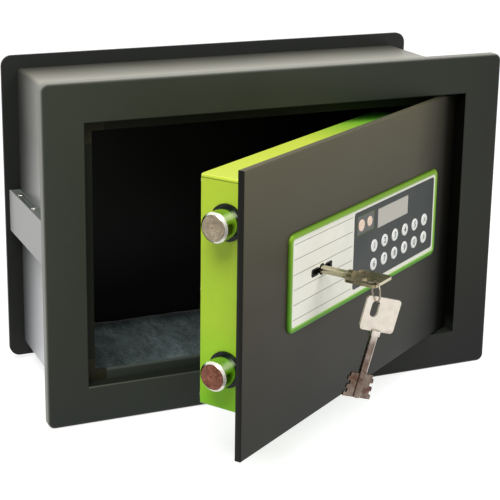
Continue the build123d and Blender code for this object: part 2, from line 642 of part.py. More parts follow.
def cover_screws():
    screws = []
    for x, z in cover_screw_places():
        head = rod_d(x, z, COVER_SCREW_R, (COVER_BACK, COVER_BACK + COVER_SCREW_HEAD))
        head = fillet(head.edges().sort_by(Axis.Y)[-1], COVER_SCREW_HEAD * 0.6)
        tip = COVER_BACK - COVER_SCREW_L
        head += rod_d(x, z, COVER_SCREW_SHANK_R, (tip, COVER_BACK))
        cross_d = (COVER_BACK + COVER_SCREW_HEAD / 2, COVER_BACK + COVER_SCREW_HEAD)
        arm = COVER_SCREW_R * 0.6
        half = COVER_SCREW_SLOT / 2
        head -= block((x - arm, x + arm), cross_d, (z - half, z + half))
        head -= block((x - half, x + half), cross_d, (z - arm, z + arm))
        screws.append(head)
    hung("cover_screws", *screws)


# ---------------------------------------------------------------- bolts and drive
def bolt_bushes():
    bushes = []
    outside = (PAN_X[0] - BUSH_FLANGE_T, PAN_X[0])
    bore = BOLT_R + BOLT_FIT
    for side in (-1, 1):
        z = side * BOLT_Z
        bush = rod_x(BOLT_D, z, bore + BUSH_FLANGE, outside)
        bush += rod_x(BOLT_D, z, bore + BUSH_WALL, (outside[0], outside[1] + BUSH_L))
        bushes.append(bush - rod_x(BOLT_D, z, bore, (outside[0], outside[1] + BUSH_L)))
    hung("bolt_bushes", *bushes)


def bolts():
    for name, side in (("bolt_upper", 1), ("bolt_lower", -1)):
        z = side * BOLT_Z
        bolt = rod_x(BOLT_D, z, BOLT_R, (BOLT_TIP_X, BAR_X))
        bolt = chamfer(bolt.edges().sort_by(Axis.X)[0], BOLT_CHAMFER)
        bolt += rod_x(BOLT_D, z, STUD_R, (BAR_X, BAR_X + STUD_L))
        dimple = Pos(BOLT_TIP_X, BOLT_D - DEPTH, z) * Sphere(BOLT_DIMPLE_R)
        hung(name, bolt - dimple)


def bolt_bar():
    """Flat bar that joins the two bolts, and the nuts that hold them on it."""
    d = (RACK_D[0], RACK_D[0] + BAR_DEPTH)
    half = BOLT_Z + BAR_END
    bar = block((BAR_X, BAR_X + BAR_T), d, (-half, half))
    nuts = []
    for side in (-1, 1):
        z = side * BOLT_Z
        bar -= rod_x(BOLT_D, z, STUD_R, (BAR_X, BAR_X + BAR_T))
        hexagon = Plane(origin=(BAR_X + BAR_T, BOLT_D - DEPTH, z), z_dir=(1, 0, 0))
        nut = extrude(hexagon * RegularPolygon(NUT_R, 6), amount=NUT_T)
        nuts.append(nut - rod_x(BOLT_D, z, STUD_R, (BAR_X + BAR_T, BAR_X + BAR_T + NUT_T)))
    hung("bolt_bar", bar)
    hung("bolt_nuts", *nuts)


def rack_tooth(x):
    """One rack tooth with straight flanks, its middle at x."""
    half = math.pi * MODULE / 4 - BACKLASH / 2
    lean = math.tan(PRESSURE_ANGLE)
    low = RACK_TOP - TOOTH_ROOT
    high = RACK_PITCH_Z + RACK_ADDENDUM
    foot = half + lean * (RACK_PITCH_Z - low)
    tip = half - lean * RACK_ADDENDUM
    return Polygon((x - foot, low), (x + foot, low), (x + tip, high), (x - tip, high), align=None)


def drive_rack():
    """Toothed bar that the key pinion drives, with two holes for the solenoid's plunger."""
    outline = area((BAR_X + BAR_T, RACK_END_X), (RACK_TOP - RACK_H, RACK_TOP))
    pitch = math.pi * MODULE
    for n in range(RACK_TOOTH_COUNT):
        outline += rack_tooth(KEY_X + (n - RACK_FIRST_TOOTH) * pitch)
    rack = slab(outline, RACK_D)
    for x in (SOLENOID_X, SOLENOID_X + BOLT_TRAVEL):
        rack -= rod_d(x, PLUNGER_Z, PLUNGER_R + PLUNGER_HOLE_GAP, RACK_D)
    hung("drive_rack", rack)


def pinion_outline():
    """Ten-tooth involute pinion with a tooth pointing straight down."""
    base_r = PITCH_R * math.cos(PRESSURE_ANGLE)
    tip_r = PITCH_R + TOOTH_ADDENDUM
    root_r = PITCH_R - RACK_ADDENDUM - TOOTH_CLEARANCE
    unwind = math.tan(PRESSURE_ANGLE) - PRESSURE_ANGLE
    half = (math.pi * MODULE / 2 - BACKLASH) / (2 * PITCH_R) + unwind
    points = []
    for n in range(PINION_TEETH):
        middle = -math.pi / 2 + n * 2 * math.pi / PINION_TEETH
        flank = []
        for step in range(5):
            r = base_r + (tip_r - base_r) * step / 4
            roll = math.sqrt(max((r / base_r) ** 2 - 1, 0))
            flank.append((r, half - (roll - math.atan(roll))))
        flank.insert(0, (root_r, half))
        left = [(r, middle - a) for r, a in flank]
        right = [(r, middle + a) for r, a in reversed(flank)]
        points += [(r * math.cos(a), r * math.sin(a)) for r, a in left + right]
    return Pos(KEY_X, KEY_Z) * Polygon(*points, align=None)


def lock_rotor():
    """Slotted drum that the key's bits turn, its spindle and the pinion at its back."""
    drum_back = ROTOR_FRONT + ROTOR_L
    slot_back = KEY_TIP_D + ROTOR_SLOT_GAP
    pinion_d = (CASE_BACK + PINION_GAP, RACK_D[1] + PINION_GAP / 2)
    rotor = rod_d(KEY_X, KEY_Z, ROTOR_R, (ROTOR_FRONT, drum_back))
    rotor += rod_d(KEY_X, KEY_Z, SPINDLE_R, (drum_back, pinion_d[0]))
    rotor += slab(pinion_outline(), pinion_d)
    rotor += rod_d(KEY_X, KEY_Z, TAIL_R, (pinion_d[1], pinion_d[1] + TAIL_L))
    half_w = BIT_R + ROTOR_SLOT_GAP
    half_t = BIT_T / 2 + ROTOR_SLOT_GAP
    slot_d = (ROTOR_FRONT, slot_back)
    slot = block((KEY_X - half_w, KEY_X + half_w), slot_d, (KEY_Z - half_t, KEY_Z + half_t))
    rotor -= slot + rod_d(KEY_X, KEY_Z, SHAFT_R + ROTOR_SLOT_GAP, slot_d)
    hung("lock_rotor", rotor)


def lock_case():
    case = block(CASE_X, (DOOR_BACK, CASE_BACK), CASE_Z)
    case -= block(grown(CASE_X, -CASE_T), (DOOR_BACK, CASE_BACK - CASE_T), grown(CASE_Z, -CASE_T))
    case -= rod_d(KEY_X, KEY_Z, SPINDLE_R + SPINDLE_FIT, (CASE_BACK - CASE_T, CASE_BACK))
    hung("lock_case", case)


def lever_pack():
    """Sprung lever plates that the key's bits lift."""
    low, high = grown(CASE_Z, -CASE_T - LEVER_GAP)
    outline = area(grown(CASE_X, -CASE_T - LEVER_GAP), (low, high - LEVER_LIFT), LEVER_R)
    window_w = 2 * (ROTOR_R + ROTOR_SLOT_GAP)
    outline -= Pos(KEY_X, KEY_Z) * RectangleRounded(window_w, LEVER_WINDOW_H, LEVER_WINDOW_R)
    first = DOOR_BACK + LEVER_FIRST
    levers = []
    for n in range(LEVER_COUNT):
        front = first + n * LEVER_PITCH
        levers.append(slab(outline, (front, front + LEVER_T)))
    hung("lever_pack", *levers)


def post_places():
    return [(x, z) for x in grown(CHASSIS_X, -POST_INSET) for z in grown(CHASSIS_Z, -POST_INSET)]


def chassis():
    """Plate behind the rack that carries the pinion's tail and the rack guide, on four posts."""
    plate = slab(area(CHASSIS_X, CHASSIS_Z, CHASSIS_R), CHASSIS_D)
    plate -= rod_d(KEY_X, KEY_Z, TAIL_R + SPINDLE_FIT, CHASSIS_D)
    hung("chassis_plate", plate)
    posts = []
    for x, z in post_places():
        posts.append(rod_d(x, z, POST_R, (DOOR_BACK, CHASSIS_D[0])))
    hung("chassis_posts", *posts)
    z = (RACK_TOP - RACK_H - GUIDE_WALL, RACK_TOP + GUIDE_WALL)
    guide = block(GUIDE_X, (RACK_D[0] - GUIDE_WALL, CHASSIS_D[0]), z)
    way_z = (RACK_TOP - RACK_H - GUIDE_GAP, RACK_TOP + GUIDE_GAP)
    guide -= block(GUIDE_X, grown(RACK_D, GUIDE_GAP), way_z)
    hung("rack_guide", guide)


def solenoid():
    """Coil housing on the door plate, and the plunger that drops into the rack."""
    half = SOLENOID_W / 2
    back = RACK_D[0] - SOLENOID_GAP
    x = (SOLENOID_X - half, SOLENOID_X + half)
    z = (PLUNGER_Z - half, PLUNGER_Z + half)
    tip = RACK_D[0] - PLUNGER_REST_GAP
    front = tip - PLUNGER_HELD - PLUNGER_STROKE
    body = block(x, (DOOR_BACK, back), z)
    bore_front = front - PLUNGER_END_GAP
    body -= rod_d(SOLENOID_X, PLUNGER_Z, PLUNGER_R + PLUNGER_FIT, (bore_front, back))
    hung("solenoid_body", body)
    plunger = rod_d(SOLENOID_X, PLUNGER_Z, PLUNGER_R, (front, tip))
    hung("solenoid_plunger", chamfer(plunger.edges().sort_by(Axis.Y)[-1], PLUNGER_CHAMFER))


# ---------------------------------------------------------------- keys
def key_bits():
    """Both bits in x and axial distance from the key's tip, with their cuts."""
    step = BIT_L / len(BIT_CUTS)
    outline = Rectangle(0.1, 0.1)
    for side, cuts in ((-1, BIT_CUTS), (1, (BIT_CUTS[0],) + BIT_CUTS[:0:-1])):
        for n, cut in enumerate(cuts):
            x = sorted((0, side * (BIT_R - cut)))
            outline += area(x, (n * step, (n + 1) * step))
    return outline


def key_blank():
    """A key that stands on its tip along +Z, flat in the XZ plane."""
    key = Pos(0, 0, SHAFT_L / 2) * Cylinder(SHAFT_R, SHAFT_L)
    key = chamfer(key.edges().sort_by(Axis.Z)[0], SHAFT_CHAMFER)
    bits = extrude(Plane.XZ * key_bits(), amount=BIT_T / 2, both=True)
    bow_z = (SHAFT_L, SHAFT_L + BOW_L)
    bow = Plane.XZ * area((-BOW_W / 2, BOW_W / 2), bow_z, BOW_CORNER_R)
    slot_z = (bow_z[1] - BOW_STRIP - BOW_SLOT_L, bow_z[1] - BOW_STRIP)
    slot_x = (-BOW_SLOT_OFF - BOW_SLOT_W / 2, -BOW_SLOT_OFF + BOW_SLOT_W / 2)
    bow = extrude(bow, amount=BOW_T / 2, both=True)
    bow -= extrude(Plane.XZ * area(slot_x, slot_z, BOW_SLOT_W / 2 - 0.05), amount=BOW_T, both=True)
    collar = Pos(0, 0, SHAFT_L + COLLAR_UP - COLLAR_L / 2) * Cylinder(COLLAR_R, COLLAR_L)
    return key + bits + collar + bow


def key_in_lock():
    """The key lies level in the lock: its tip points into the door and its slot is on the bolt side."""
    place = Pos(KEY_X, KEY_TIP_D - DEPTH, KEY_Z) * Rot(90, 0, 0)
    hung("key", place * key_blank())


def ring_place():
    """Centre of the ring with the door shut, and the level direction in its plane."""
    bow_end = BOW_FRONT_D - BOW_L
    x = KEY_X - BOW_SLOT_OFF - RING_SIDE
    y = bow_end + BOW_STRIP / 2 - DEPTH
    return Vector(x, y, KEY_Z + BOW_T / 2 - RING_DROP)


def key_ring():
    centre = ring_place()
    ring = Pos(*centre) * Rot(0, 0, -RING_YAW) * Rot(0, 90, 0) * Torus(RING_R, RING_WIRE_R)
    hung("key_ring", ring)


def spare_key():
    """Second key, hanging upright from the ring by the round end of its slot."""
    eye_z = SHAFT_L + BOW_L - BOW_STRIP - BOW_SLOT_W / 2
    blank = Pos(BOW_SLOT_OFF, 0, -eye_z) * key_blank()
    centre = ring_place()
    eye = centre - Vector(0, 0, RING_R + RING_BEARING)
    spare = Pos(*eye) * Rot(0, 0, -RING_YAW) * Rot(0, SPARE_TILT, 0) * blank
    hung("spare_key", spare)


# ---------------------------------------------------------------- fascia and keypad
def fascia():
    """Green border, pale panel and black keyhole liner."""
    outer = area(FASCIA_X, FASCIA_Z, FASCIA_R)
    inner_x, inner_z = grown(FASCIA_X, -BORDER_W), grown(FASCIA_Z, -BORDER_W)
    inner_r = FASCIA_R - BORDER_W
    border = slab(outer - area(inner_x, inner_z, inner_r), (FASCIA_FRONT, DOOR_FRONT))
    border = fillet(border.faces().sort_by(Axis.Y)[0].outer_wire().edges(), BORDER_ROUND)
    hung("fascia_border", border)
    sheet = area(grown(inner_x, -PANEL_GAP), grown(inner_z, -PANEL_GAP), inner_r)
    sheet -= area(grown(BEZEL_X, PANEL_GAP), grown(BEZEL_Z, PANEL_GAP), BEZEL_R)
    hung("fascia_panel", slab(sheet - keyhole(), (PANEL_FRONT, DOOR_FRONT)))
    hole = RectangleRounded(LINER_SLOT_W, LINER_SLOT_H, LINER_SLOT_R) + Circle(LINER_SLOT_EYE_R)
    liner = keyhole() - Pos(KEY_X, KEY_Z) * hole
    hung("keyhole_liner", slab(liner, (PANEL_FRONT, DOOR_BACK)))


def button_places():
    """Name, x and z of each button."""
    places = []
    for row, names in enumerate(BUTTON_NAMES):
        for column, name in enumerate(names):
            x = BUTTON_X + column * BUTTON_PITCH_X
            places.append((name, x, BUTTON_Z - row * BUTTON_PITCH_Z))
    return places


def keypad_bezel():
    outline = area(BEZEL_X, BEZEL_Z, BEZEL_R)
    for _, x, z in button_places():
        outline -= Pos(x, z) * Circle(BUTTON_R + BUTTON_HOLE_GAP)
    outline -= area(DISPLAY_X, DISPLAY_Z)
    outline -= area(STATUS_X, STATUS_Z)
    hung("keypad_bezel", slab(outline, (BEZEL_FRONT, DOOR_FRONT)))


def displays():
    """Display pane, status pane and its two lamps, all set in the bezel."""
    front = BEZEL_FRONT + PANE_SINK
    hung("display_window", slab(area(DISPLAY_X, DISPLAY_Z), (front, front + DISPLAY_T)))
    pane = area(STATUS_X, STATUS_Z)
    lamps = []
    for across, up, r in LED_PLACES:
        x, z = STATUS_X[0] + across, STATUS_Z[0] + up
        pane -= Pos(x, z) * Circle(r)
        lamp = rod_d(x, z, r, (front - LED_PROUD, front + LED_L))
        lamps.append(fillet(lamp.edges().sort_by(Axis.Y)[0], LED_PROUD * 0.9))
    hung("status_window", slab(pane, (front, front + STATUS_T)))
    hung("status_leds", *lamps)


def buttons():
    for name, x, z in button_places():
        front = BEZEL_FRONT - BUTTON_PROUD
        cap = rod_d(x, z, BUTTON_R, (front, BUTTON_BACK))
        cap = fillet(cap.edges().sort_by(Axis.Y)[0], BUTTON_DOME)
        cap += rod_d(x, z, BUTTON_FLANGE_R, (FLANGE_D, FLANGE_D + BUTTON_FLANGE_T))
        hung("button_" + name, cap)


def boards():
    """Keypad board with a switch behind each button, control board above it, and their posts."""
    d = (BOARD_FRONT, BOARD_FRONT + BOARD_T)
    hung("keypad_board", slab(area(KEYPAD_BOARD_X, KEYPAD_BOARD_Z, BOARD_R), d))
    switch_front = BUTTON_BACK + BUTTON_TRAVEL + SWITCH_GAP
    half = SWITCH_W / 2
    switches = []
    for _, x, z in button_places():
        base = block((x - half, x + half), (switch_front + SWITCH_CAP, d[0]), (z - half, z + half))
        switches.append(base + rod_d(x, z, half * 0.55, (switch_front, switch_front + SWITCH_CAP)))
    hung("button_switches", *switches)
    posts = []
    for x in grown(KEYPAD_BOARD_X, -KEYPAD_POST_X):
        for z in grown(KEYPAD_BOARD_Z, -KEYPAD_POST_Z):
            posts.append(rod_d(x, z, SMALL_POST_R, (DOOR_BACK, d[0])))
    stand = DOOR_BACK + CONTROL_STAND
    for x in grown(CONTROL_X, -CONTROL_POST_INSET):
        for z in grown(CONTROL_Z, -CONTROL_POST_INSET):
            posts.append(rod_d(x, z, SMALL_POST_R, (DOOR_BACK, stand)))
    hung("board_posts", *posts)
    board = slab(area(CONTROL_X, CONTROL_Z, BOARD_R), (stand, stand + BOARD_T))
    back = stand + BOARD_T
    mid_z = sum(CONTROL_Z) / 2
    chip_x = CONTROL_X[0] + (CONTROL_X[1] - CONTROL_X[0]) / 3
    plug_x = CONTROL_X[0] + 2 * (CONTROL_X[1] - CONTROL_X[0]) / 3
    chip = block(grown((chip_x, chip_x), CHIP[0] / 2), (back, back + CHIP[2]), grown((mid_z, mid_z), CHIP[1] / 2))
    plug = block(grown((plug_x, plug_x), PLUG[0] / 2), (back, back + PLUG[2]), grown((mid_z, mid_z), PLUG[1] / 2))
    hung("control_board", board + chip + plug)


# ---------------------------------------------------------------- battery compartment
def battery_box():
    front = PAN_BACK - 2 * CELL_R - 2 * CELL_GAP - TRAY_T
    tray = block(TRAY_X, (front, PAN_BACK), TRAY_Z)
    tray -= block(grown(TRAY_X, -TRAY_T), (front + TRAY_T, PAN_BACK), grown(TRAY_Z, -TRAY_T))
    hung("battery_tray", tray)
    cells = []
    depth = front + TRAY_T + CELL_GAP + CELL_R
    for row in (0, 1):
        level = TRAY_Z[0] + TRAY_T + CELL_GAP + CELL_R + row * (2 * CELL_R + CELL_GAP)
        for n in (0, 1):
            start = TRAY_X[0] + TRAY_T + TRAY_END_GAP / 2 + n * (CELL_L + CELL_NUB_L + TRAY_END_GAP)
            cell = rod_x(depth, level, CELL_R, (start, start + CELL_L))
            cell = fillet(cell.edges().filter_by(GeomType.CIRCLE), CELL_EDGE_R)
            cells.append(cell + rod_x(depth, level, CELL_NUB_R, (start + CELL_L, start + CELL_L + CELL_NUB_L)))
    hung("batteries", *cells)


def battery_lid():
    d = (COVER_BACK + LID_GAP, COVER_BACK + LID_GAP + LID_T)
    lid = block(LID_X, d, LID_Z)
    grip_x = (LID_X[1] - 2 * LID_GRIP_W, LID_X[1] - LID_GRIP_W)
    middle = (LID_Z[0] + LID_Z[1]) / 2
    lid += block(grip_x, (d[1], d[1] + LID_GRIP_T), (middle - LID_GRIP_W, middle + LID_GRIP_W))
    hung("battery_cover", lid)


def write_parts():
    os.makedirs("parts", exist_ok=True)
    for name, solids in PARTS.items():
        shape = solids[0] if len(solids) == 1 else Compound(children=solids)
        export_step(shape, "parts/" + name + ".step")


def main():
    front_frame()
    body_shell()
    rear_plate()
    anchor_channels()
    door_stops()
    bolt_keeper()
    hinge_seats()
    floor_mat()
    door_plate()
    hinge_blocks()
    door_pan()
    back_cover()
    cover_screws()
    bolt_bushes()
    bolts()
    bolt_bar()
    drive_rack()
    lock_rotor()
    lock_case()
    lever_pack()
    chassis()
    solenoid()
    key_in_lock()
    key_ring()
    spare_key()
    fascia()
    keypad_bezel()
    displays()
    buttons()
    boards()
    battery_box()
    battery_lid()
    write_parts()


main()
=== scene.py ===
"""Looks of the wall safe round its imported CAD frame: coats, felt, legends, light and camera.

Lengths are metres. Each CAD node keeps its mesh and gets a procedural material, and modifiers
round the edges of the larger sheets a little. The felt mat, the panel's lines, the status
window's outline and the button legends are made here.
"""
import bpy
import bmesh
import json
import math
from mathutils import Matrix, Vector, noise

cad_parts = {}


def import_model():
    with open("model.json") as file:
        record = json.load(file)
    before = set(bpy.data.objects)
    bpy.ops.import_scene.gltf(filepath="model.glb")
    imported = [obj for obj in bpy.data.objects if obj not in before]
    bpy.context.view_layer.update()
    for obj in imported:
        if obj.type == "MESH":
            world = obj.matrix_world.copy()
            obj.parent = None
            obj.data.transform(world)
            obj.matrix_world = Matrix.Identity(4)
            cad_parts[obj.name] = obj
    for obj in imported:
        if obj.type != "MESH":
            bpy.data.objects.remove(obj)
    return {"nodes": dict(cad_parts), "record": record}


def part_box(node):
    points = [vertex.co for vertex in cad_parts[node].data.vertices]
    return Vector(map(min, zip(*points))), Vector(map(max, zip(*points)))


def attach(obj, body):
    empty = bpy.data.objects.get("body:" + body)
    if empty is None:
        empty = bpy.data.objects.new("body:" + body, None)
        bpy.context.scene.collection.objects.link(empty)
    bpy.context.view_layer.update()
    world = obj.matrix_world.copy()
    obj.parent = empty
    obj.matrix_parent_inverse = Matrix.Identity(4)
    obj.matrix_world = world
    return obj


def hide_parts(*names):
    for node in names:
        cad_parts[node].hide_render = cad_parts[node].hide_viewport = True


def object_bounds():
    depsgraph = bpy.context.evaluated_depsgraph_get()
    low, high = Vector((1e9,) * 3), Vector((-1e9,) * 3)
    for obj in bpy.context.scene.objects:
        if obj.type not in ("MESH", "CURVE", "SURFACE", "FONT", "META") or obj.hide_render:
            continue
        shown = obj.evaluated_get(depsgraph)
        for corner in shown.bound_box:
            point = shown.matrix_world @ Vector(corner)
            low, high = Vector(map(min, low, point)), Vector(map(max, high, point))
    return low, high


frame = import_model()
CAD_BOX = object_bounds()
NODES = frame["nodes"]
JOINTS = {j["name"]: j for j in frame["record"]["behaviour"]["joints"]}
DOOR_ANGLE = -math.radians(JOINTS["door_swing"]["range_deg"][0])
BODY_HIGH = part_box("body_shell")[1]
FRAME_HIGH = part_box("front_frame")[1]
REAR_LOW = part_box("rear_plate")[0]
OPENING_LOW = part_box("door_stop_strips")[0]  # the strips line the opening's left and foot
BUTTONS = ("1", "2", "3", "4", "5", "a", "6", "7", "8", "9", "0", "b")

# ---------------------------------------------------------------- sizes on the part
SKIN = 0.001             # play that a mask leaves round a sheet's surface
LEDGE = 0.0085           # width of a door stop strip, seen from the front
SEAM = 0.0026            # folded seam on the pan's lock side, below the pan's top
SEAM_W = 0.0006
CUT_EDGE = 0.0003        # reach of the duller cut edge on the door plate's lock side
RUBBED = 0.0009          # reach of the rubbed edges of a coat
SOFT_EDGE = 0.0005       # rounding of the sheets' sharp edges
SHARP = math.radians(35)  # an edge that turns by more is a sharp one
WELD = 0.00001           # corners nearer than this are one
SOFT_NODES = ("front_frame", "rear_plate", "body_shell", "anchor_channels", "door_plate",
              "door_pan", "fascia_border")

BOLT_FACE = 0.0004       # depth of a bolt's end face
BOLT_DIMPLE = 0.0030     # radius round the axis that belongs to the end face at any depth
BOLT_RIM = 0.0021        # reach of the bolt's chamfer
DARK_REFLECTION_FADE = (0.007, 0.012)  # where the painted dark reflection thins out along the bolt

FELT_CELLS = (96, 34)    # the felt sheet's grid, across and in
FELT_T = 0.0022          # thickness of the felt
FELT_LIFT = 0.0002       # felt above the floor
FELT_WAVE, FELT_RIPPLE = 0.0016, 0.0005  # height of the broad waves and of the small ones
FELT_RAGGED = 0.0012     # how far the sheet's edge wanders
CURL = 0.006             # lift of the felt's edge against the rear plate
CURL_FROM = 0.84         # share of the sheet's depth where the lift begins
WAVE_RATE = (14, 18)     # how fast the noise runs per metre, across and in: broad waves,
RIPPLE_RATE = 60         # small waves,
RAG_RATE = 70            # ragged edges
CURL_RATE = 9            # and the lift's height from side to side

INK = 0.00005            # thickness of printed ink
LINE_COUNT = 6           # printed rules on the pale panel
LINE_W = 0.0005
LINE_FOOT, LINE_HEAD = 0.47, 0.37  # free height below and above the rules, in spacings
RULE_MARGIN = (0.0018, 0.0024)  # free ends of a rule, at the panel's edge and at the keypad
LINER_MARGIN = 0.001     # from a rule to the keyhole liner
DIGIT_SIZE, LETTER_SIZE = 0.0068, 0.0052
LEGEND_BOLD = 0.00006    # growth of a legend's strokes

# ---------------------------------------------------------------- where the coats change, with their painted light and shade
BODY_SHEEN = (-0.045, -0.130)   # Y, painted sheen, brighter towards the front
BODY_REAR_SHADE = (-0.064, -0.003)    # Y, painted shade, darker towards the rear plate
BODY_TOP = (0.003, 0.0004)      # painted highlight, paler from these distances below the body's top upwards
FRAME_FOOT = -0.070             # Z, painted shade, darker and cooler below it
FOLD_SHADE_FOOT = (-0.090, -0.100)    # Z, painted shade in the fold, lighter towards its foot
SILL_HIGHLIGHT = (0.020, -0.150)     # X, painted highlight, stronger towards the lock side
SILL_DROP, SILL_HALF = 0.0008, 0.0006  # the painted highlight line below the opening, and half its width
PAN_TOP = (0.002, 0.0005)       # painted highlight and shade on the top, from these distances below the pan's top
PAN_FOOT = -0.020               # Z, painted shade, greener below it
PAN_BY_HINGE = (0.130, 0.030)   # painted shade on the top, from the pan's hinge side
DOOR_BY_HINGE = (0.070, 0.014)  # from the door's hinge edge, painted shadow
STRIP_HIGHLIGHT = (0.0022, 0.0008)   # painted highlight below the foot strip's upper edge
BORDER_FOOT = 0.0016            # from the border's outer edge
BORDER_LIP = (0.0028, 0.0042)   # the same, to the inner lip
FELT_SHADE = 0.011              # from the walls
BOLT_HUB = 0.0045               # radius of the brighter middle of a bolt's face
KEY_BOW = (0.36, 0.42)          # share of the key's length where the bow ends
KEY_BITS = (0.34, 0.46)         # the same where the bits' tarnish sets in

# ---------------------------------------------------------------- camera and light
AZIMUTH, ELEVATION, ROLL = -0.390, 0.259, 0.0083  # radians
DISTANCE = 1.0632
AIM = (-0.0588, -0.150, 0.0553)
LENS, SENSOR = 99.6, 36.0  # millimetres
SHIFT = (0.07, -0.15)
STAGE_GREY = 186
STAGE_GLOW = 0.76        # what the stage adds for the camera and in reflections
STAGE_HALF = 4.0
STAGE_DROP = 0.0005      # floor below the part
WORLD_LIGHT = 0.36
LAMP_AIM = (0, -0.1, 0)


# ---------------------------------------------------------------- the door's own axes
def on_door(along, inward, up):
    """A place given along the door, into it and upwards, in the part's frame."""
    return Matrix.Rotation(DOOR_ANGLE, 3, "Z") @ Vector((along, inward, up))


def door_span(node):
    """Lowest and highest corner of a node along the door's own axes."""
    back = Matrix.Rotation(-DOOR_ANGLE, 3, "Z")
    points = [back @ v.co for v in NODES[node].data.vertices]
    low = Vector([min(p[i] for p in points) for i in range(3)])
    high = Vector([max(p[i] for p in points) for i in range(3)])
    return low, high


# ---------------------------------------------------------------- node helpers
class Tree:
    """A material's node tree with a Principled shader, filled in step by step."""

    def __init__(self, name, rough=0.5, metal=0.0, spec=0.5):
        self.mat = bpy.data.materials.new(name)
        self.mat.use_nodes = True
        self.nodes = self.mat.node_tree.nodes
        self.links = self.mat.node_tree.links
        self.bsdf = self.nodes["Principled BSDF"]
        self.bsdf.inputs["Roughness"].default_value = rough
        self.bsdf.inputs["Metallic"].default_value = metal
        self.bsdf.inputs["Specular IOR Level"].default_value = spec
        self.place = self.nodes.new("ShaderNodeTexCoord").outputs["Object"]

    def join(self, out, into):
        self.links.new(out, into)

    def mapped(self, scale=(1, 1, 1), turn=(0, 0, 0), move=(0, 0, 0)):
        """Object coordinates: turned, then moved, then scaled."""
        first = self.nodes.new("ShaderNodeMapping")
        first.vector_type = "POINT"
        first.inputs["Location"].default_value = move
        first.inputs["Rotation"].default_value = turn
        self.join(self.place, first.inputs["Vector"])
        second = self.nodes.new("ShaderNodeMapping")
        second.inputs["Scale"].default_value = scale
        self.join(first.outputs["Vector"], second.inputs["Vector"])
        return second.outputs["Vector"]

    def noise(self, scale, detail=4.0, rough=0.55, at=None):
        n = self.nodes.new("ShaderNodeTexNoise")
        n.inputs["Scale"].default_value = scale
        n.inputs["Detail"].default_value = detail
        n.inputs["Roughness"].default_value = rough
        self.join(at or self.place, n.inputs["Vector"])
        return n.outputs["Fac"]

    def span(self, value, low, high, to_low, to_high):
        """Value mapped from low..high to to_low..to_high, and held beyond either end."""
        n = self.nodes.new("ShaderNodeMapRange")
        n.inputs["From Min"].default_value = low
        n.inputs["From Max"].default_value = high
        n.inputs["To Min"].default_value = to_low
        n.inputs["To Max"].default_value = to_high
        self.join(value, n.inputs["Value"])
        return n.outputs["Result"]

    def math(self, kind, a, b):
        n = self.nodes.new("ShaderNodeMath")
        n.operation = kind
        for socket, value in zip(n.inputs, (a, b)):
            if isinstance(value, (int, float)):
                socket.default_value = value
            else:
                self.join(value, socket)
        return n.outputs["Value"]

    def mix(self, factor, a, b):
        """Colour a where factor is 0 and colour b where it is 1."""
        n = self.nodes.new("ShaderNodeMix")
        n.data_type = "RGBA"
        if isinstance(factor, (int, float)):
            n.inputs["Factor"].default_value = factor
        else:
            self.join(factor, n.inputs["Factor"])
        for key, value in (("A", a), ("B", b)):
            socket = [i for i in n.inputs if i.name == key and i.type == "RGBA"][0]
            if isinstance(value, tuple):
                socket.default_value = (*value, 1.0)
            else:
                self.join(value, socket)
        return [o for o in n.outputs if o.type == "RGBA"][0]

    def parts(self, at):
        """The X, Y and Z of a vector."""
        apart = self.nodes.new("ShaderNodeSeparateXYZ")
        self.join(at, apart.inputs["Vector"])
        return apart.outputs

    def vector(self, x):
        """A vector along x, to draw noise that changes in one direction only."""
        whole = self.nodes.new("ShaderNodeCombineXYZ")
        self.join(x, whole.inputs["X"])
        return whole.outputs["Vector"]

    def facing(self):
        """The X, Y and Z of the surface's direction in the piece's own axes."""
        return self.parts(self.nodes.new("ShaderNodeTexCoord").outputs["Normal"])

    def absolute(self, value):
        return self.math("ABSOLUTE", value, 0.0)

    def length(self, at):
        n = self.nodes.new("ShaderNodeVectorMath")
        n.operation = "LENGTH"
        self.join(at, n.inputs[0])
        return n.outputs["Value"]

    def within(self, half_x, half_z):
        """1 inside the four walls given by their half distances in x and z, 0 outside."""
        place = self.parts(self.place)
        near_x = self.math("LESS_THAN", self.absolute(place["X"]), half_x)
        near_z = self.math("LESS_THAN", self.absolute(place["Z"]), half_z)
        return self.both(near_x, near_z)

    def colour(self, out):
        if isinstance(out, tuple):
            self.bsdf.inputs["Base Color"].default_value = (*out, 1.0)
        else:
            self.join(out, self.bsdf.inputs["Base Color"])

    def rough(self, out):
        self.join(out, self.bsdf.inputs["Roughness"])

    def bump(self, height, strength, distance):
        n = self.nodes.new("ShaderNodeBump")
        n.inputs["Strength"].default_value = strength
        n.inputs["Distance"].default_value = distance
        self.join(height, n.inputs["Height"])
        self.join(n.outputs["Normal"], self.bsdf.inputs["Normal"])

    def near(self, value, middle, reach):
        """1 where value lies within reach of middle, 0 elsewhere."""
        out = self.math("COMPARE", value, middle)
        out.node.inputs[2].default_value = reach
        return out

    def both(self, a, b):
        """The product of two masks, or of a mask and its strength."""
        return self.math("MULTIPLY", a, b)

    def outside(self, mask):
        return self.math("SUBTRACT", 1.0, mask)

    def edges(self, radius, gain):
        """1 along the solid's edges and 0 on its faces."""
        bevel = self.nodes.new("ShaderNodeBevel")
        bevel.samples = 4
        bevel.inputs["Radius"].default_value = radius
        flat = self.nodes.new("ShaderNodeNewGeometry")
        dot = self.nodes.new("ShaderNodeVectorMath")
        dot.operation = "DOT_PRODUCT"
        self.join(bevel.outputs["Normal"], dot.inputs[0])
        self.join(flat.outputs["True Normal"], dot.inputs[1])
        return self.span(dot.outputs["Value"], 1.0 - gain, 1.0, 1.0, 0.0)


def srgb(r, g, b):
    """An sRGB colour out of 255 as linear values."""
    def one(v):
        v /= 255.0
        return v / 12.92 if v <= 0.04045 else ((v + 0.055) / 1.055) ** 2.4
    return (one(r), one(g), one(b))


def scaled(colour, by):
    return tuple(min(1.0, c * by) for c in colour)


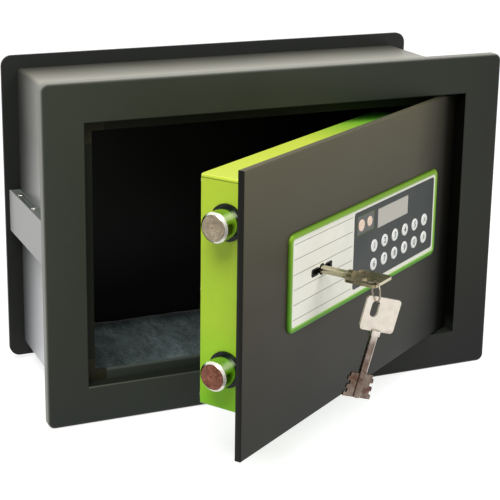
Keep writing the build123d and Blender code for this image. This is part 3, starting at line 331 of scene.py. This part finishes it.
# ---------------------------------------------------------------- materials
def mottled(t, cloud, colour, by):
    """A colour that drifts a little darker and lighter with a cloud of noise."""
    drift = t.span(cloud, 0.3, 0.7, 0.0, 1.0)
    return t.mix(drift, scaled(colour, 1.0 - by), scaled(colour, 1.0 + by))


def paint(name, colour, rough=0.42, spec=0.3, wear=0.35, mottle=0.08, peel=0.10, wear_and_highlight=None,
          over=None):
    """Powder coat: fine orange peel, faint mottling, rubbed edges, and over(t, base) on top."""
    t = Tree(name, rough, 0.0, spec)
    blotch = t.noise(9.0, 5.0, 0.6)
    fine = t.noise(163.0, 3.0, 0.5)
    base = mottled(t, blotch, colour, mottle)
    base = t.mix(t.span(fine, 0.35, 0.75, 0.0, 2.0 * mottle), base, scaled(colour, 1.3))
    if wear:
        rubbed = t.span(t.noise(45.0, 4.0), 0.42, 0.68, 0.0, wear)
        base = t.mix(t.both(t.edges(RUBBED, 0.25), rubbed), base, wear_and_highlight or scaled(colour, 3.2))
    if over:
        base = over(t, base)
    t.colour(base)
    t.rough(t.span(blotch, 0.3, 0.7, rough - 0.05, rough + 0.06))
    t.bump(t.noise(877.0, 2.0, 0.5), peel, 0.0002)
    return t.mat


def metal(name, colour, rough=0.25, lines=(1, 1, 1)):
    """Machined or plated metal: fine lines along one way and cloudy tarnish."""
    t = Tree(name, rough, 1.0, 0.5)
    streak = t.noise(60.0, 5.0, 0.65, t.mapped(scale=lines, turn=(0, 0, -DOOR_ANGLE)))
    cloud = t.noise(55.0, 4.0, 0.6)
    base = t.mix(t.span(cloud, 0.40, 0.75, 0.0, 0.25), colour, scaled(colour, 0.55))
    base = t.mix(t.span(streak, 0.35, 0.7, 0.0, 0.30), base, scaled(colour, 0.75))
    t.colour(base)
    t.rough(t.span(streak, 0.3, 0.7, rough - 0.08, rough + 0.12))
    t.bump(streak, 0.12, 0.0001)
    return t.mat


def key_metal(name, node, colour, dark, bow, bits):
    """Worn nickel over brass: bow and bits darkened by so much, a cleaner shaft between them, and
    a painted highlight on the sides that face +X.
    """
    low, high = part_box(node)
    t = Tree(name, 0.22, 1.0, 0.5)
    place = t.parts(t.place)
    if high.z - low.z > high.y - low.y:
        towards_bits = t.span(place["Z"], low.z, high.z, 1.0, 0.0)
    else:
        towards_bits = t.span(place["Y"], low.y, high.y, 0.0, 1.0)
    cloud = t.noise(150.0, 5.0, 0.6)
    patch = t.noise(90.0, 3.0, 0.6)
    on_bow = t.span(towards_bits, *KEY_BOW, bow, 0.0)
    on_bits = t.span(towards_bits, *KEY_BITS, 0.0, bits)
    stain = t.math("ADD", t.math("ADD", on_bow, on_bits), t.span(patch, 0.35, 0.7, -0.12, 0.18))
    base = t.mix(stain, colour, dark)
    base = t.mix(t.span(cloud, 0.45, 0.7, 0.0, 0.3), base, scaled(colour, 0.7))
    # Painted highlight on the sides that face +X.
    base = t.mix(t.span(t.facing()["X"], 0.35, 0.75, 0.0, 0.85), base, scaled(colour, 1.2))
    t.colour(base)
    t.rough(t.span(cloud, 0.3, 0.7, 0.18, 0.34))
    t.bump(cloud, 0.12, 0.00008)
    return t.mat


def plastic(name, colour, rough=0.35, spec=0.5, mottle=0.06):
    """Moulded plastic: even colour, very fine texture, slight haze of handling."""
    t = Tree(name, rough, 0.0, spec)
    cloud = t.noise(30.0, 4.0, 0.6)
    t.colour(mottled(t, cloud, colour, mottle))
    t.rough(t.span(cloud, 0.3, 0.7, rough - 0.04, rough + 0.06))
    t.bump(t.noise(1400.0, 2.0, 0.5), 0.06, 0.0001)
    return t.mat


def border_plastic():
    """Green moulding with painted light: yellower upwards, deeper in a painted shadow at its outer
    foot and paler in a painted highlight at its inner lip.
    """
    low, high = door_span("fascia_border")
    middle = (low + high) / 2
    half = (high - low) / 2
    t = Tree("fascia_green", 0.38, 0.0, 0.2)
    place = t.parts(t.mapped(turn=(0, 0, -DOOR_ANGLE), move=-middle))
    to_side = t.math("SUBTRACT", half.x, t.absolute(place["X"]))
    to_top = t.math("SUBTRACT", half.z, t.absolute(place["Z"]))
    near = t.math("MINIMUM", to_side, to_top)
    cloud = t.noise(30.0, 4.0, 0.6)
    base = t.mix(t.span(cloud, 0.3, 0.7, 0.0, 1.0), srgb(74, 146, 12), srgb(86, 158, 20))
    # Painted light: yellower towards the top.
    base = t.mix(t.span(place["Z"], -half.z, half.z, 0.0, 0.6), base, srgb(142, 174, 28))
    # Painted shadow at the outer foot.
    base = t.mix(t.span(near, 0.0, BORDER_FOOT, 0.8, 0.0), base, srgb(46, 84, 8))
    # Painted highlight along the inner lip.
    base = t.mix(t.span(near, *BORDER_LIP, 0.0, 0.65), base, srgb(176, 216, 112))
    t.colour(base)
    t.bump(t.noise(1400.0, 2.0, 0.5), 0.06, 0.0001)
    return t.mat


def felt_material():
    """Grey-blue needle felt: tangled fibres, darker flecks, uneven nap and shade by the walls."""
    t = Tree("felt_mat", 0.95, 0.0, 0.1)
    t.bsdf.inputs["Sheen Weight"].default_value = 0.12
    t.bsdf.inputs["Sheen Roughness"].default_value = 0.5
    laid = t.mapped(scale=(1, 0.4, 1))
    cloud = t.noise(85.0, 5.0, 0.6, laid)
    fibre = t.noise(900.0, 4.0, 0.7, laid)
    flecks = t.noise(300.0, 3.0, 0.6, laid)
    patch = t.noise(38.0, 3.0, 0.6, laid)
    base = t.mix(t.span(cloud, 0.36, 0.64, 0.0, 1.0), srgb(62, 75, 76), srgb(104, 119, 119))
    base = t.mix(t.span(patch, 0.42, 0.62, 0.0, 0.5), base, srgb(44, 54, 56))
    base = t.mix(t.span(flecks, 0.50, 0.62, 0.0, 0.6), base, srgb(46, 56, 60))
    base = t.mix(t.span(fibre, 0.5, 0.7, 0.0, 0.35), base, srgb(156, 170, 170))
    low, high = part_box("floor_mat")
    place = t.parts(t.place)
    to_side = t.math("SUBTRACT", place["X"], low.x)
    to_wall = t.math("MINIMUM", to_side, t.math("SUBTRACT", high.y, place["Y"]))
    base = t.mix(t.span(to_wall, 0.0, FELT_SHADE, 0.85, 0.0), base, srgb(14, 17, 18))
    t.colour(base)
    height = t.math("ADD", t.math("MULTIPLY", fibre, 0.5), t.math("MULTIPLY", cloud, 1.2))
    t.bump(height, 0.6, 0.0012)
    return t.mat


def bolt_material(node, face):
    """Turned steel bolt: a plated side tinted green as a painted reflection of the pan, a bright
    rim and a pale streak along its upper front as painted highlights, a painted dark reflection
    below that, and a darker end face with rings round its axis.
    """
    low, high = door_span(node)
    t = Tree(node + "_steel", 0.07, 1.0, 0.5)
    centre = (-low.x, -(low.y + high.y) / 2, -(low.z + high.z) / 2)
    at = t.mapped(turn=(0, 0, -DOOR_ANGLE), move=centre)
    along = t.parts(at)["X"]
    radial = t.mapped(scale=(0, 1, 1), turn=(0, 0, -DOOR_ANGLE), move=centre)
    radius = t.length(radial)
    flat = t.math("LESS_THAN", along, BOLT_FACE)
    end = t.math("MAXIMUM", flat, t.math("LESS_THAN", radius, BOLT_DIMPLE))
    rings = t.noise(2600.0, 2.0, 0.5, t.vector(radius))
    lathe = t.noise(1500.0, 2.0, 0.5, t.vector(along))
    cloud = t.noise(90.0, 4.0, 0.6)
    # The green tint of the plated side is a painted reflection of the green pan.
    side = t.mix(t.span(cloud, 0.4, 0.72, 0.0, 0.5), srgb(186, 222, 176), srgb(128, 156, 116))
    facing = t.facing()
    up = facing["Z"]
    # Painted dark reflection where the side faces level, near the end.
    dark_reflection = t.both(t.span(up, 0.42, 0.28, 0.0, 1.0), t.span(up, -0.62, -0.3, 0.0, 1.0))
    dark_reflection = t.both(dark_reflection, t.span(along, *DARK_REFLECTION_FADE, 1.0, 0.0))
    side = t.mix(t.both(dark_reflection, 0.9), side, srgb(20, 34, 18))
    # Painted highlight: a pale streak where the side faces partly upwards.
    streak = t.both(t.span(up, 0.46, 0.62, 0.0, 1.0), t.span(up, 0.74, 0.9, 1.0, 0.0))
    streak = t.both(streak, t.outside(end))
    side = t.mix(streak, side, srgb(228, 244, 206))
    # Painted highlight on the chamfer where it faces the front.
    chamfer = t.math("LESS_THAN", along, BOLT_RIM)
    rim = t.both(chamfer, t.span(facing["Y"], -0.02, -0.3, 0.0, 1.0))
    side = t.mix(rim, side, srgb(240, 238, 224))
    disc = t.mix(t.span(rings, 0.35, 0.65, 0.0, 1.0), scaled(face, 0.72), scaled(face, 1.15))
    disc = t.mix(t.span(cloud, 0.40, 0.62, 0.0, 0.75), disc, scaled(face, 0.38))
    disc = t.mix(t.span(t.noise(420.0, 3.0, 0.6), 0.5, 0.7, 0.0, 0.5), disc, scaled(face, 1.9))
    disc = t.mix(t.span(radius, 0.0, BOLT_HUB, 0.55, 0.0), disc, scaled(face, 1.7))
    t.colour(t.mix(end, side, disc))
    t.rough(t.span(end, 0.0, 1.0, 0.18, 0.36))
    # Less metallic under the painted highlights.
    plain = t.math("MAXIMUM", streak, t.both(rim, t.outside(end)))
    t.join(t.span(plain, 0.0, 1.0, 1.0, 0.45), t.bsdf.inputs["Metallic"])
    marks = t.mix(end, t.span(lathe, 0.0, 1.0, 0.0, 0.15), rings)
    t.bump(marks, 0.25, 0.00006)
    return t.mat


def assign(node, mat):
    """Puts a material on every slot of a node, by way of the object and not its mesh."""
    o = NODES[node]
    if not o.data.materials:
        o.data.materials.append(mat)
    for slot in o.material_slots:
        slot.link = "OBJECT"
        slot.material = mat


def body_over(t, base):
    """Painted light, brighter towards the front, the foot and the top, painted shade by the rear
    plate, and painted shade that makes the inside dark.
    """
    place = t.parts(t.place)
    depth, height = place["Y"], place["Z"]
    top = t.span(height, BODY_HIGH.z - BODY_TOP[0], BODY_HIGH.z - BODY_TOP[1], 0.0, 1.0)
    foot = t.span(height, BODY_HIGH.z * 0.6, -BODY_HIGH.z, 0.0, 1.0)
    # Painted light: brighter towards the foot and the front, and paler on the top.
    base = t.mix(foot, base, srgb(234, 236, 240))
    base = t.mix(t.span(depth, *BODY_SHEEN, 0.0, 0.6), base, srgb(220, 219, 205))
    base = t.mix(t.both(top, 0.30), base, srgb(196, 190, 162))
    # Painted shade: darker by the rear plate.
    base = t.mix(t.span(depth, *BODY_REAR_SHADE, 0.0, 0.92), base, srgb(38, 39, 36))
    # Painted shade: the inside is dark.
    return t.mix(t.within(BODY_HIGH.x - SKIN, BODY_HIGH.z - SKIN), base, srgb(5, 5, 4))


def frame_over(t, base):
    """Painted shade, darker to the right and at the foot, a painted highlight round the outer
    bend and along the edge of the sill, and painted shade in the fold into the opening.
    """
    place = t.parts(t.place)
    # Painted shade: darker to the right, darker and cooler towards the foot, deepest at the right
    # of the foot.
    right = t.span(place["X"], 0.0, FRAME_HIGH.x, 0.0, 0.7)
    base = t.mix(right, base, srgb(26, 26, 22))
    base = t.mix(t.span(place["Z"], FRAME_FOOT, -FRAME_HIGH.z, 0.0, 0.5), base, srgb(38, 43, 44))
    foot = t.span(place["Z"], 0.0, -FRAME_HIGH.z, 0.0, 1.2)
    base = t.mix(t.both(right, foot), base, srgb(9, 9, 8))
    # Painted highlight on the faces of the outer bend that turn away from the front.
    bend = t.span(t.absolute(t.facing()["Y"]), 0.35, 0.92, 0.8, 0.0)
    base = t.mix(bend, base, srgb(152, 152, 143))
    # Painted shade in the fold into the opening, lighter at its foot.
    fold = t.within(SKIN / 2 - OPENING_LOW.x, SKIN / 2 - OPENING_LOW.z)
    fold_shade = t.mix(t.span(place["Z"], *FOLD_SHADE_FOOT, 0.0, 1.0), srgb(8, 8, 6), srgb(34, 37, 32))
    base = t.mix(fold, base, fold_shade)
    # Painted highlight: a pale line along the sill, stronger towards the lock side.
    sill = t.near(place["Z"], OPENING_LOW.z - SILL_DROP, SILL_HALF)
    inside = t.math("LESS_THAN", t.absolute(place["X"]), -OPENING_LOW.x)
    wear_and_highlight = t.both(inside, t.span(place["X"], *SILL_HIGHLIGHT, 0.0, 1.0))
    return t.mix(t.both(sill, wear_and_highlight), base, srgb(86, 90, 78))


def rear_over(t, base):
    """Painted shade: black on the face that closes the cavity."""
    inner = t.math("LESS_THAN", t.parts(t.place)["Y"], REAR_LOW.y / 2)
    inside = t.both(inner, t.within(BODY_HIGH.x - SKIN, BODY_HIGH.z - SKIN))
    return t.mix(inside, base, srgb(5, 6, 5))


def channel_over(t, base):
    """The upward flange is in the shade of the wall's edge and has dust on it, with a pale cut
    edge.
    """
    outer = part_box("anchor_channels")[1].x
    flat = t.span(t.facing()["Z"], 0.6, 0.9, 0.0, 0.85)
    web = t.math("LESS_THAN", t.absolute(t.parts(t.place)["X"]), outer - SKIN)
    return t.mix(t.both(flat, web), base, srgb(76, 84, 78))


def pan_over(t, base):
    """Painted light, yellower towards the top of the pan and paler on its top, and painted shade,
    greener towards its foot and its hinges, with a dark folded seam at the lock side.
    """
    low, high = door_span("door_pan")
    height = t.parts(t.place)["Z"]
    along = t.parts(t.mapped(turn=(0, 0, -DOOR_ANGLE)))["X"]
    # Painted light: yellower towards the top, and paler on the top itself.
    base = t.mix(t.span(height, 0.0, high.z - SKIN, 0.0, 0.75), base, srgb(196, 216, 54))
    top = t.span(height, high.z - PAN_TOP[0], high.z - PAN_TOP[1], 0.0, 1.0)
    base = t.mix(t.both(top, 0.5), base, srgb(226, 232, 100))
    # Painted shade: greener on the top towards the hinges.
    hinge_shade = t.span(along, high.x - PAN_BY_HINGE[0], high.x - PAN_BY_HINGE[1], 0.0, 0.9)
    base = t.mix(t.both(top, hinge_shade), base, srgb(60, 176, 34))
    fold = t.near(height, high.z - SEAM, SEAM_W / 2)
    seam = t.both(fold, t.math("LESS_THAN", along, low.x + SKIN))
    base = t.mix(t.both(seam, 0.75), base, srgb(40, 66, 8))
    # Painted shade: greener towards the foot.
    return t.mix(t.span(height, PAN_FOOT, low.z, 0.0, 0.85), base, srgb(122, 202, 8))


def door_over(t, base):
    """Painted light and shade on the satin coat: paler towards the door's top, painted shade
    towards its foot, a painted shadow by its hinges, and duller on the lock side's cut edge.
    """
    low, high = door_span("door_plate")
    height = t.parts(t.place)["Z"]
    # Painted shade towards the foot, and painted light towards the top.
    base = t.mix(t.span(height, low.z * 0.1, low.z * 0.9, 0.0, 0.85), base, srgb(27, 28, 25))
    base = t.mix(t.span(height, 0.0, high.z, 0.0, 0.8), base, srgb(92, 88, 68))
    along = t.parts(t.mapped(turn=(0, 0, -DOOR_ANGLE)))["X"]
    # Painted shadow by the hinges.
    hinge_shade = t.span(along, high.x - DOOR_BY_HINGE[0], high.x - DOOR_BY_HINGE[1], 0.0, 0.95)
    base = t.mix(hinge_shade, base, srgb(7, 7, 6))
    return t.mix(t.math("LESS_THAN", along, low.x + CUT_EDGE), base, srgb(20, 20, 17))


def stop_over(t, base):
    """The foot strip is lighter, more so towards the lock side, with a painted highlight on its
    upper edge.
    """
    edge = OPENING_LOW.z + LEDGE
    place = t.parts(t.place)
    from_lock = t.span(place["X"], OPENING_LOW.x, 0.0, 0.0, 1.0)
    foot_colour = t.mix(from_lock, srgb(58, 63, 57), srgb(32, 36, 33))
    # Painted highlight along the upper edge.
    upper = t.span(place["Z"], edge - STRIP_HIGHLIGHT[0], edge - STRIP_HIGHLIGHT[1], 0.0, 0.5)
    foot_colour = t.mix(upper, foot_colour, srgb(104, 112, 104))
    return t.mix(t.math("LESS_THAN", place["Z"], edge + SKIN), base, foot_colour)


frame_paint = paint("frame_paint", srgb(46, 50, 40), 0.42, 0.2, over=frame_over)
# The light grey stands in for grazing light on the frame's dark paint: painted reflection.
body_paint = paint("body_paint", srgb(118, 118, 112), 0.34, 0.45, wear=0.0, mottle=0.03, peel=0.04,
                   over=body_over)
rear_paint = paint("rear_paint", srgb(33, 35, 32), rough=0.5, spec=0.2, over=rear_over)
channel_paint = paint("channel_paint", srgb(182, 183, 181), 0.45, mottle=0.04,
                      wear_and_highlight=srgb(205, 205, 202), over=channel_over)
door_paint = paint("door_paint", srgb(60, 57, 46), 0.40, 0.11, mottle=0.05, over=door_over)
stop_paint = paint("stop_paint", srgb(24, 26, 19), rough=0.5, spec=0.1, over=stop_over)
gusset_paint = paint("gusset_paint", srgb(42, 40, 28), rough=0.5, spec=0.1)
inside_paint = paint("hinge_paint", srgb(34, 34, 32), rough=0.5)
green_paint = paint("green_paint", srgb(176, 212, 50), 0.38, 0.3, 0.15, 0.04,
                    wear_and_highlight=srgb(222, 236, 140), over=pan_over)
steel = metal("machined_steel", srgb(176, 174, 168), 0.30, (1, 1, 6))
plated = metal("plated_steel", srgb(205, 203, 196), 0.22)
ring_steel = metal("ring_steel", srgb(150, 140, 124), 0.35)
brass = metal("brass", srgb(196, 164, 96), 0.28)
key_nickel = key_metal("key_nickel", "key", srgb(212, 204, 178), srgb(104, 92, 52), 0.75, 0.2)
spare_nickel = key_metal("spare_nickel", "spare_key", srgb(204, 196, 184), srgb(84, 62, 52),
                         0.0, 0.9)
black = plastic("black_plastic", srgb(10, 11, 10), 0.55, 0.15)
gloss_black = plastic("bush_plastic", srgb(9, 16, 11), 0.22, 0.2)
fascia_green = border_plastic()
fascia_pale = plastic("fascia_pale", srgb(244, 243, 230), 0.42, 0.3)
keypad_grey = plastic("keypad_grey", srgb(48, 54, 51), 0.45, 0.25)
button_white = plastic("button_white", srgb(240, 240, 236), 0.40)
display_face = plastic("display_face", srgb(184, 179, 168), 0.18, mottle=0.03)
status_face = plastic("status_face", srgb(50, 54, 47), 0.2)
lamp_face = plastic("lamp_face", srgb(238, 210, 186), 0.20)
board_green = plastic("board_green", srgb(34, 92, 54), 0.4)
cell_sleeve = plastic("cell_sleeve", srgb(46, 48, 52), 0.3)
upper_steel = bolt_material("bolt_upper", srgb(146, 134, 114))
lower_steel = bolt_material("bolt_lower", srgb(120, 78, 64))

FINISH = {
    "front_frame": frame_paint, "body_shell": body_paint, "rear_plate": rear_paint,
    "anchor_channels": channel_paint, "channel_screws": plated, "door_stop_strips": stop_paint,
    "stop_gussets": gusset_paint, "bolt_keeper": inside_paint, "hinge_brackets": inside_paint,
    "hinge_bushes": brass, "door_plate": door_paint, "hinge_blocks": inside_paint,
    "hinge_pins": steel, "door_pan": green_paint, "back_cover": green_paint,
    "cover_screws": plated, "bolt_bushes": gloss_black, "bolt_upper": upper_steel,
    "bolt_lower": lower_steel, "bolt_bar": steel, "bolt_nuts": plated, "drive_rack": steel,
    "lock_rotor": brass, "lock_case": steel, "lever_pack": brass, "chassis_plate": steel,
    "chassis_posts": steel, "rack_guide": brass, "solenoid_body": inside_paint,
    "solenoid_plunger": steel, "key": key_nickel, "key_ring": ring_steel,
    "spare_key": spare_nickel, "fascia_border": fascia_green, "fascia_panel": fascia_pale,
    "keyhole_liner": black, "keypad_bezel": keypad_grey, "display_window": display_face,
    "status_window": status_face, "status_leds": lamp_face, "keypad_board": board_green,
    "button_switches": black, "board_posts": black, "control_board": board_green,
    "battery_tray": black, "batteries": cell_sleeve, "battery_cover": black,
}
for name in BUTTONS:
    FINISH["button_" + name] = button_white
for name, mat in FINISH.items():
    assign(name, mat)


# ---------------------------------------------------------------- rounded edges on the CAD nodes
def soften(node, width):
    """Rounds the node's sharp edges a little, with modifiers."""
    o = NODES[node]
    weld = o.modifiers.new("weld", "WELD")
    weld.merge_threshold = WELD
    bevel = o.modifiers.new("bevel", "BEVEL")
    bevel.width = width
    bevel.segments = 2
    bevel.limit_method = "ANGLE"
    bevel.angle_limit = SHARP


# ---------------------------------------------------------------- new pieces
def piece(name, bm, body, mat, smooth=False):
    """A new visible piece from a bmesh, on a body of the model where one is named."""
    mesh = bpy.data.meshes.new(name)
    bm.to_mesh(mesh)
    bm.free()
    o = bpy.data.objects.new(name, mesh)
    bpy.context.scene.collection.objects.link(o)
    mesh.materials.append(mat)
    if smooth:
        for p in mesh.polygons:
            p.use_smooth = True
    if body:
        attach(o, body)
    return o


def wander(*place):
    """Smooth noise about 0, the same on each run."""
    return noise.noise(Vector(place))


def felt_mat():
    """The floor mat as a laid sheet of felt: low waves, ragged edges and a lifted rear edge."""
    lo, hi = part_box("floor_mat")
    nx, ny = FELT_CELLS
    bm = bmesh.new()
    rows = []
    for layer in (0, 1):
        grid = []
        for j in range(ny + 1):
            line = []
            for i in range(nx + 1):
                x = lo.x + (hi.x - lo.x) * (i / nx)
                y = lo.y + (hi.y - lo.y) * (j / ny)
                wave = FELT_WAVE * (wander(x * WAVE_RATE[0], y * WAVE_RATE[1], 3.0) + 0.6)
                wave += FELT_RIPPLE * wander(x * RIPPLE_RATE, y * RIPPLE_RATE, 7.0)
                if i in (0, nx) or j in (0, ny):
                    x += FELT_RAGGED * wander(x * RAG_RATE, y * RAG_RATE, 1.0)
                    y += FELT_RAGGED * wander(x * RAG_RATE, y * RAG_RATE, 5.0)
                past = max(0.0, (j / ny - CURL_FROM) / (1 - CURL_FROM))
                curl = CURL * past ** 2 * (0.75 + 0.5 * wander(x * CURL_RATE, 2.0, 4.0))
                z = lo.z + FELT_LIFT + max(0.0, wave) + curl + (FELT_T if layer else 0.0)
                line.append(bm.verts.new((x, y, z)))
            grid.append(line)
        rows.append(grid)
    for layer, grid in enumerate(rows):
        for j in range(ny):
            for i in range(nx):
                quad = [grid[j][i], grid[j][i + 1], grid[j + 1][i + 1], grid[j + 1][i]]
                bm.faces.new(quad if layer else quad[::-1])
    low, top = rows
    border = [(0, i) for i in range(nx)] + [(j, nx) for j in range(ny)]
    border += [(ny, i) for i in range(nx, 0, -1)] + [(j, 0) for j in range(ny, 0, -1)]
    for k, (j, i) in enumerate(border):
        j2, i2 = border[(k + 1) % len(border)]
        bm.faces.new([low[j][i], low[j2][i2], top[j2][i2], top[j][i]])
    bmesh.ops.recalc_face_normals(bm, faces=bm.faces)
    mat = piece("felt_mat", bm, "safe_body", felt_material(), smooth=True)
    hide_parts("floor_mat")


def printed_strip(bm, x, front, z):
    """A thin raised bar on a face of the door that looks outwards at depth front."""
    corners = [(x[0], z[0]), (x[1], z[0]), (x[1], z[1]), (x[0], z[1])]
    face = bm.faces.new([bm.verts.new(on_door(along, front - INK, up)) for along, up in corners])
    raised = bmesh.ops.extrude_face_region(bm, geom=[face])["geom"]
    inward = on_door(0, 0.8 * INK, 0)
    verts = [g for g in raised if isinstance(g, bmesh.types.BMVert)]
    bmesh.ops.translate(bm, verts=verts, vec=inward)


def panel_lines():
    """Thin printed rules across the pale part of the panel, stopped short of the keyhole liner."""
    low, high = door_span("fascia_panel")
    bezel = door_span("keypad_bezel")[0].x
    liner_low, liner_high = door_span("keyhole_liner")
    spacing = (high.z - low.z) / (LINE_COUNT - 1 + LINE_FOOT + LINE_HEAD)
    bm = bmesh.new()
    for n in range(LINE_COUNT):
        z = low.z + spacing * (n + LINE_FOOT)
        start, end = low.x + RULE_MARGIN[0], bezel - RULE_MARGIN[1]
        runs = [(start, end)]
        if liner_low.z - LINE_W < z < liner_high.z + LINE_W:
            runs = [(start, liner_low.x - LINER_MARGIN), (liner_high.x + LINER_MARGIN, end)]
        for run in runs:
            printed_strip(bm, run, low.y, (z, z + LINE_W))
    bmesh.ops.recalc_face_normals(bm, faces=bm.faces)
    lines = piece("panel_lines", bm, "door", ink("rule_ink", srgb(150, 150, 140)))


def status_outline():
    """A thin printed line round the status pane."""
    low, high = door_span("status_window")
    front = door_span("keypad_bezel")[0].y
    bm = bmesh.new()
    x, z = (low.x, high.x), (low.z, high.z)
    half = LINE_W / 2
    for side in z:
        printed_strip(bm, (x[0] - LINE_W, x[1] + LINE_W), front, (side - half, side + half))
    for side in x:
        printed_strip(bm, (side - half, side + half), front, z)
    bmesh.ops.recalc_face_normals(bm, faces=bm.faces)
    outline = piece("status_outline", bm, "door", ink("outline_ink", srgb(72, 92, 44)))


def legend(name, size, mat):
    """The digit or letter printed on a button."""
    low, high = door_span("button_" + name)
    data = bpy.data.curves.new("legend_" + name, "FONT")
    data.body = name.upper()
    data.size = size
    data.align_x = "CENTER"
    data.align_y = "CENTER"
    data.extrude = INK / 2
    data.offset = LEGEND_BOLD
    data.materials.append(mat)
    o = bpy.data.objects.new("legend_" + name, data)
    turn = Matrix.Rotation(DOOR_ANGLE, 4, "Z") @ Matrix.Rotation(math.radians(90), 4, "X")
    front = on_door((low.x + high.x) / 2, low.y - INK / 2, (low.z + high.z) / 2)
    o.matrix_world = Matrix.Translation(front) @ turn
    bpy.context.scene.collection.objects.link(o)
    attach(o, "key_" + name)


def ink(name, colour):
    """Printed ink: slightly uneven cover, matt."""
    t = Tree(name, 0.6, 0.0, 0.3)
    cover = t.noise(700.0, 3.0, 0.6)
    t.colour(t.mix(t.span(cover, 0.35, 0.7, 0.0, 0.5), colour, scaled(colour, 1.5)))
    t.bump(cover, 0.05, 0.00005)
    return t.mat


felt_mat()
panel_lines()
status_outline()
digit_ink = ink("digit_ink", srgb(70, 72, 70))
letter_ink = ink("letter_ink", srgb(110, 128, 70))
for name in BUTTONS:
    if name in "ab":
        legend(name, LETTER_SIZE, letter_ink)
    else:
        legend(name, DIGIT_SIZE, digit_ink)
for name in SOFT_NODES:
    soften(name, SOFT_EDGE)


# ---------------------------------------------------------------- floor, light and camera
def seen_directly(nodes, links):
    """1 for camera, glossy and transmitted rays, 0 for the rest."""
    path = nodes.new("ShaderNodeLightPath")
    total = path.outputs["Is Camera Ray"]
    for kind in ("Is Glossy Ray", "Is Transmission Ray"):
        most = nodes.new("ShaderNodeMath")
        most.operation = "MAXIMUM"
        links.new(total, most.inputs[0])
        links.new(path.outputs[kind], most.inputs[1])
        total = most.outputs["Value"]
    return total


def stage_material():
    """White to the camera and in reflections, and a plain pale surface that takes the shadow."""
    t = Tree("stage_white", 0.9, 0.0, 0.0)
    t.colour(srgb(STAGE_GREY, STAGE_GREY, STAGE_GREY))
    t.bsdf.inputs["Emission Color"].default_value = (1, 1, 1, 1)
    glow = t.both(seen_directly(t.nodes, t.links), STAGE_GLOW)
    t.join(glow, t.bsdf.inputs["Emission Strength"])
    return t.mat


def world():
    """White to the camera and in reflections, and a dimmer plain light on the object."""
    w = bpy.data.worlds.new("studio")
    bpy.context.scene.world = w
    w.use_nodes = True
    nodes, links = w.node_tree.nodes, w.node_tree.links
    back = nodes["Background"]
    out = nodes["World Output"]
    white = nodes.new("ShaderNodeBackground")
    white.inputs["Color"].default_value = (1, 1, 1, 1)
    white.inputs["Strength"].default_value = 1.0
    back.inputs["Color"].default_value = (1, 1, 1, 1)
    back.inputs["Strength"].default_value = WORLD_LIGHT
    mix = nodes.new("ShaderNodeMixShader")
    links.new(seen_directly(nodes, links), mix.inputs["Fac"])
    links.new(back.outputs["Background"], mix.inputs[1])
    links.new(white.outputs["Background"], mix.inputs[2])
    links.new(mix.outputs["Shader"], out.inputs["Surface"])


def lamp(name, place, size, power):
    """A soft rectangular lamp of so many watts, turned to the part."""
    data = bpy.data.lights.new(name, "AREA")
    data.shape = "RECTANGLE"
    data.size, data.size_y = size
    data.energy = power
    o = bpy.data.objects.new(name, data)
    o.location = place
    o.rotation_mode = "QUATERNION"
    o.rotation_quaternion = (Vector(LAMP_AIM) - Vector(place)).to_track_quat("-Z", "Y")
    bpy.context.scene.collection.objects.link(o)


def floor():
    bm = bmesh.new()
    bmesh.ops.create_grid(bm, x_segments=1, y_segments=1, size=STAGE_HALF)
    bmesh.ops.translate(bm, verts=bm.verts, vec=(0, 0, CAD_BOX[0].z - STAGE_DROP))
    o = piece("floor", bm, None, stage_material())


def camera():
    """The photo's viewing angle: from the left and a little above."""
    level = Vector((math.sin(AZIMUTH), -math.cos(AZIMUTH), 0)) * math.cos(ELEVATION)
    back = level + Vector((0, 0, math.sin(ELEVATION)))
    right = Vector((math.cos(AZIMUTH), math.sin(AZIMUTH), 0))
    turned = right * math.cos(ROLL) + back.cross(right) * math.sin(ROLL)
    up = back.cross(turned)
    data = bpy.data.cameras.new("camera")
    data.sensor_width = SENSOR
    data.lens = LENS
    data.shift_x, data.shift_y = SHIFT
    o = bpy.data.objects.new("camera", data)
    place = Vector(AIM) + back * DISTANCE
    o.matrix_world = Matrix.Translation(place) @ Matrix((turned, up, back)).transposed().to_4x4()
    bpy.context.scene.collection.objects.link(o)
    bpy.context.scene.camera = o


world()
lamp("key_lamp", (-0.9, -1.3, 2.0), (1.4, 1.0), 46)
lamp("fill_lamp", (1.2, -1.6, 1.8), (1.4, 1.2), 24)
floor()
camera()
bpy.context.scene.view_settings.view_transform = "Standard"
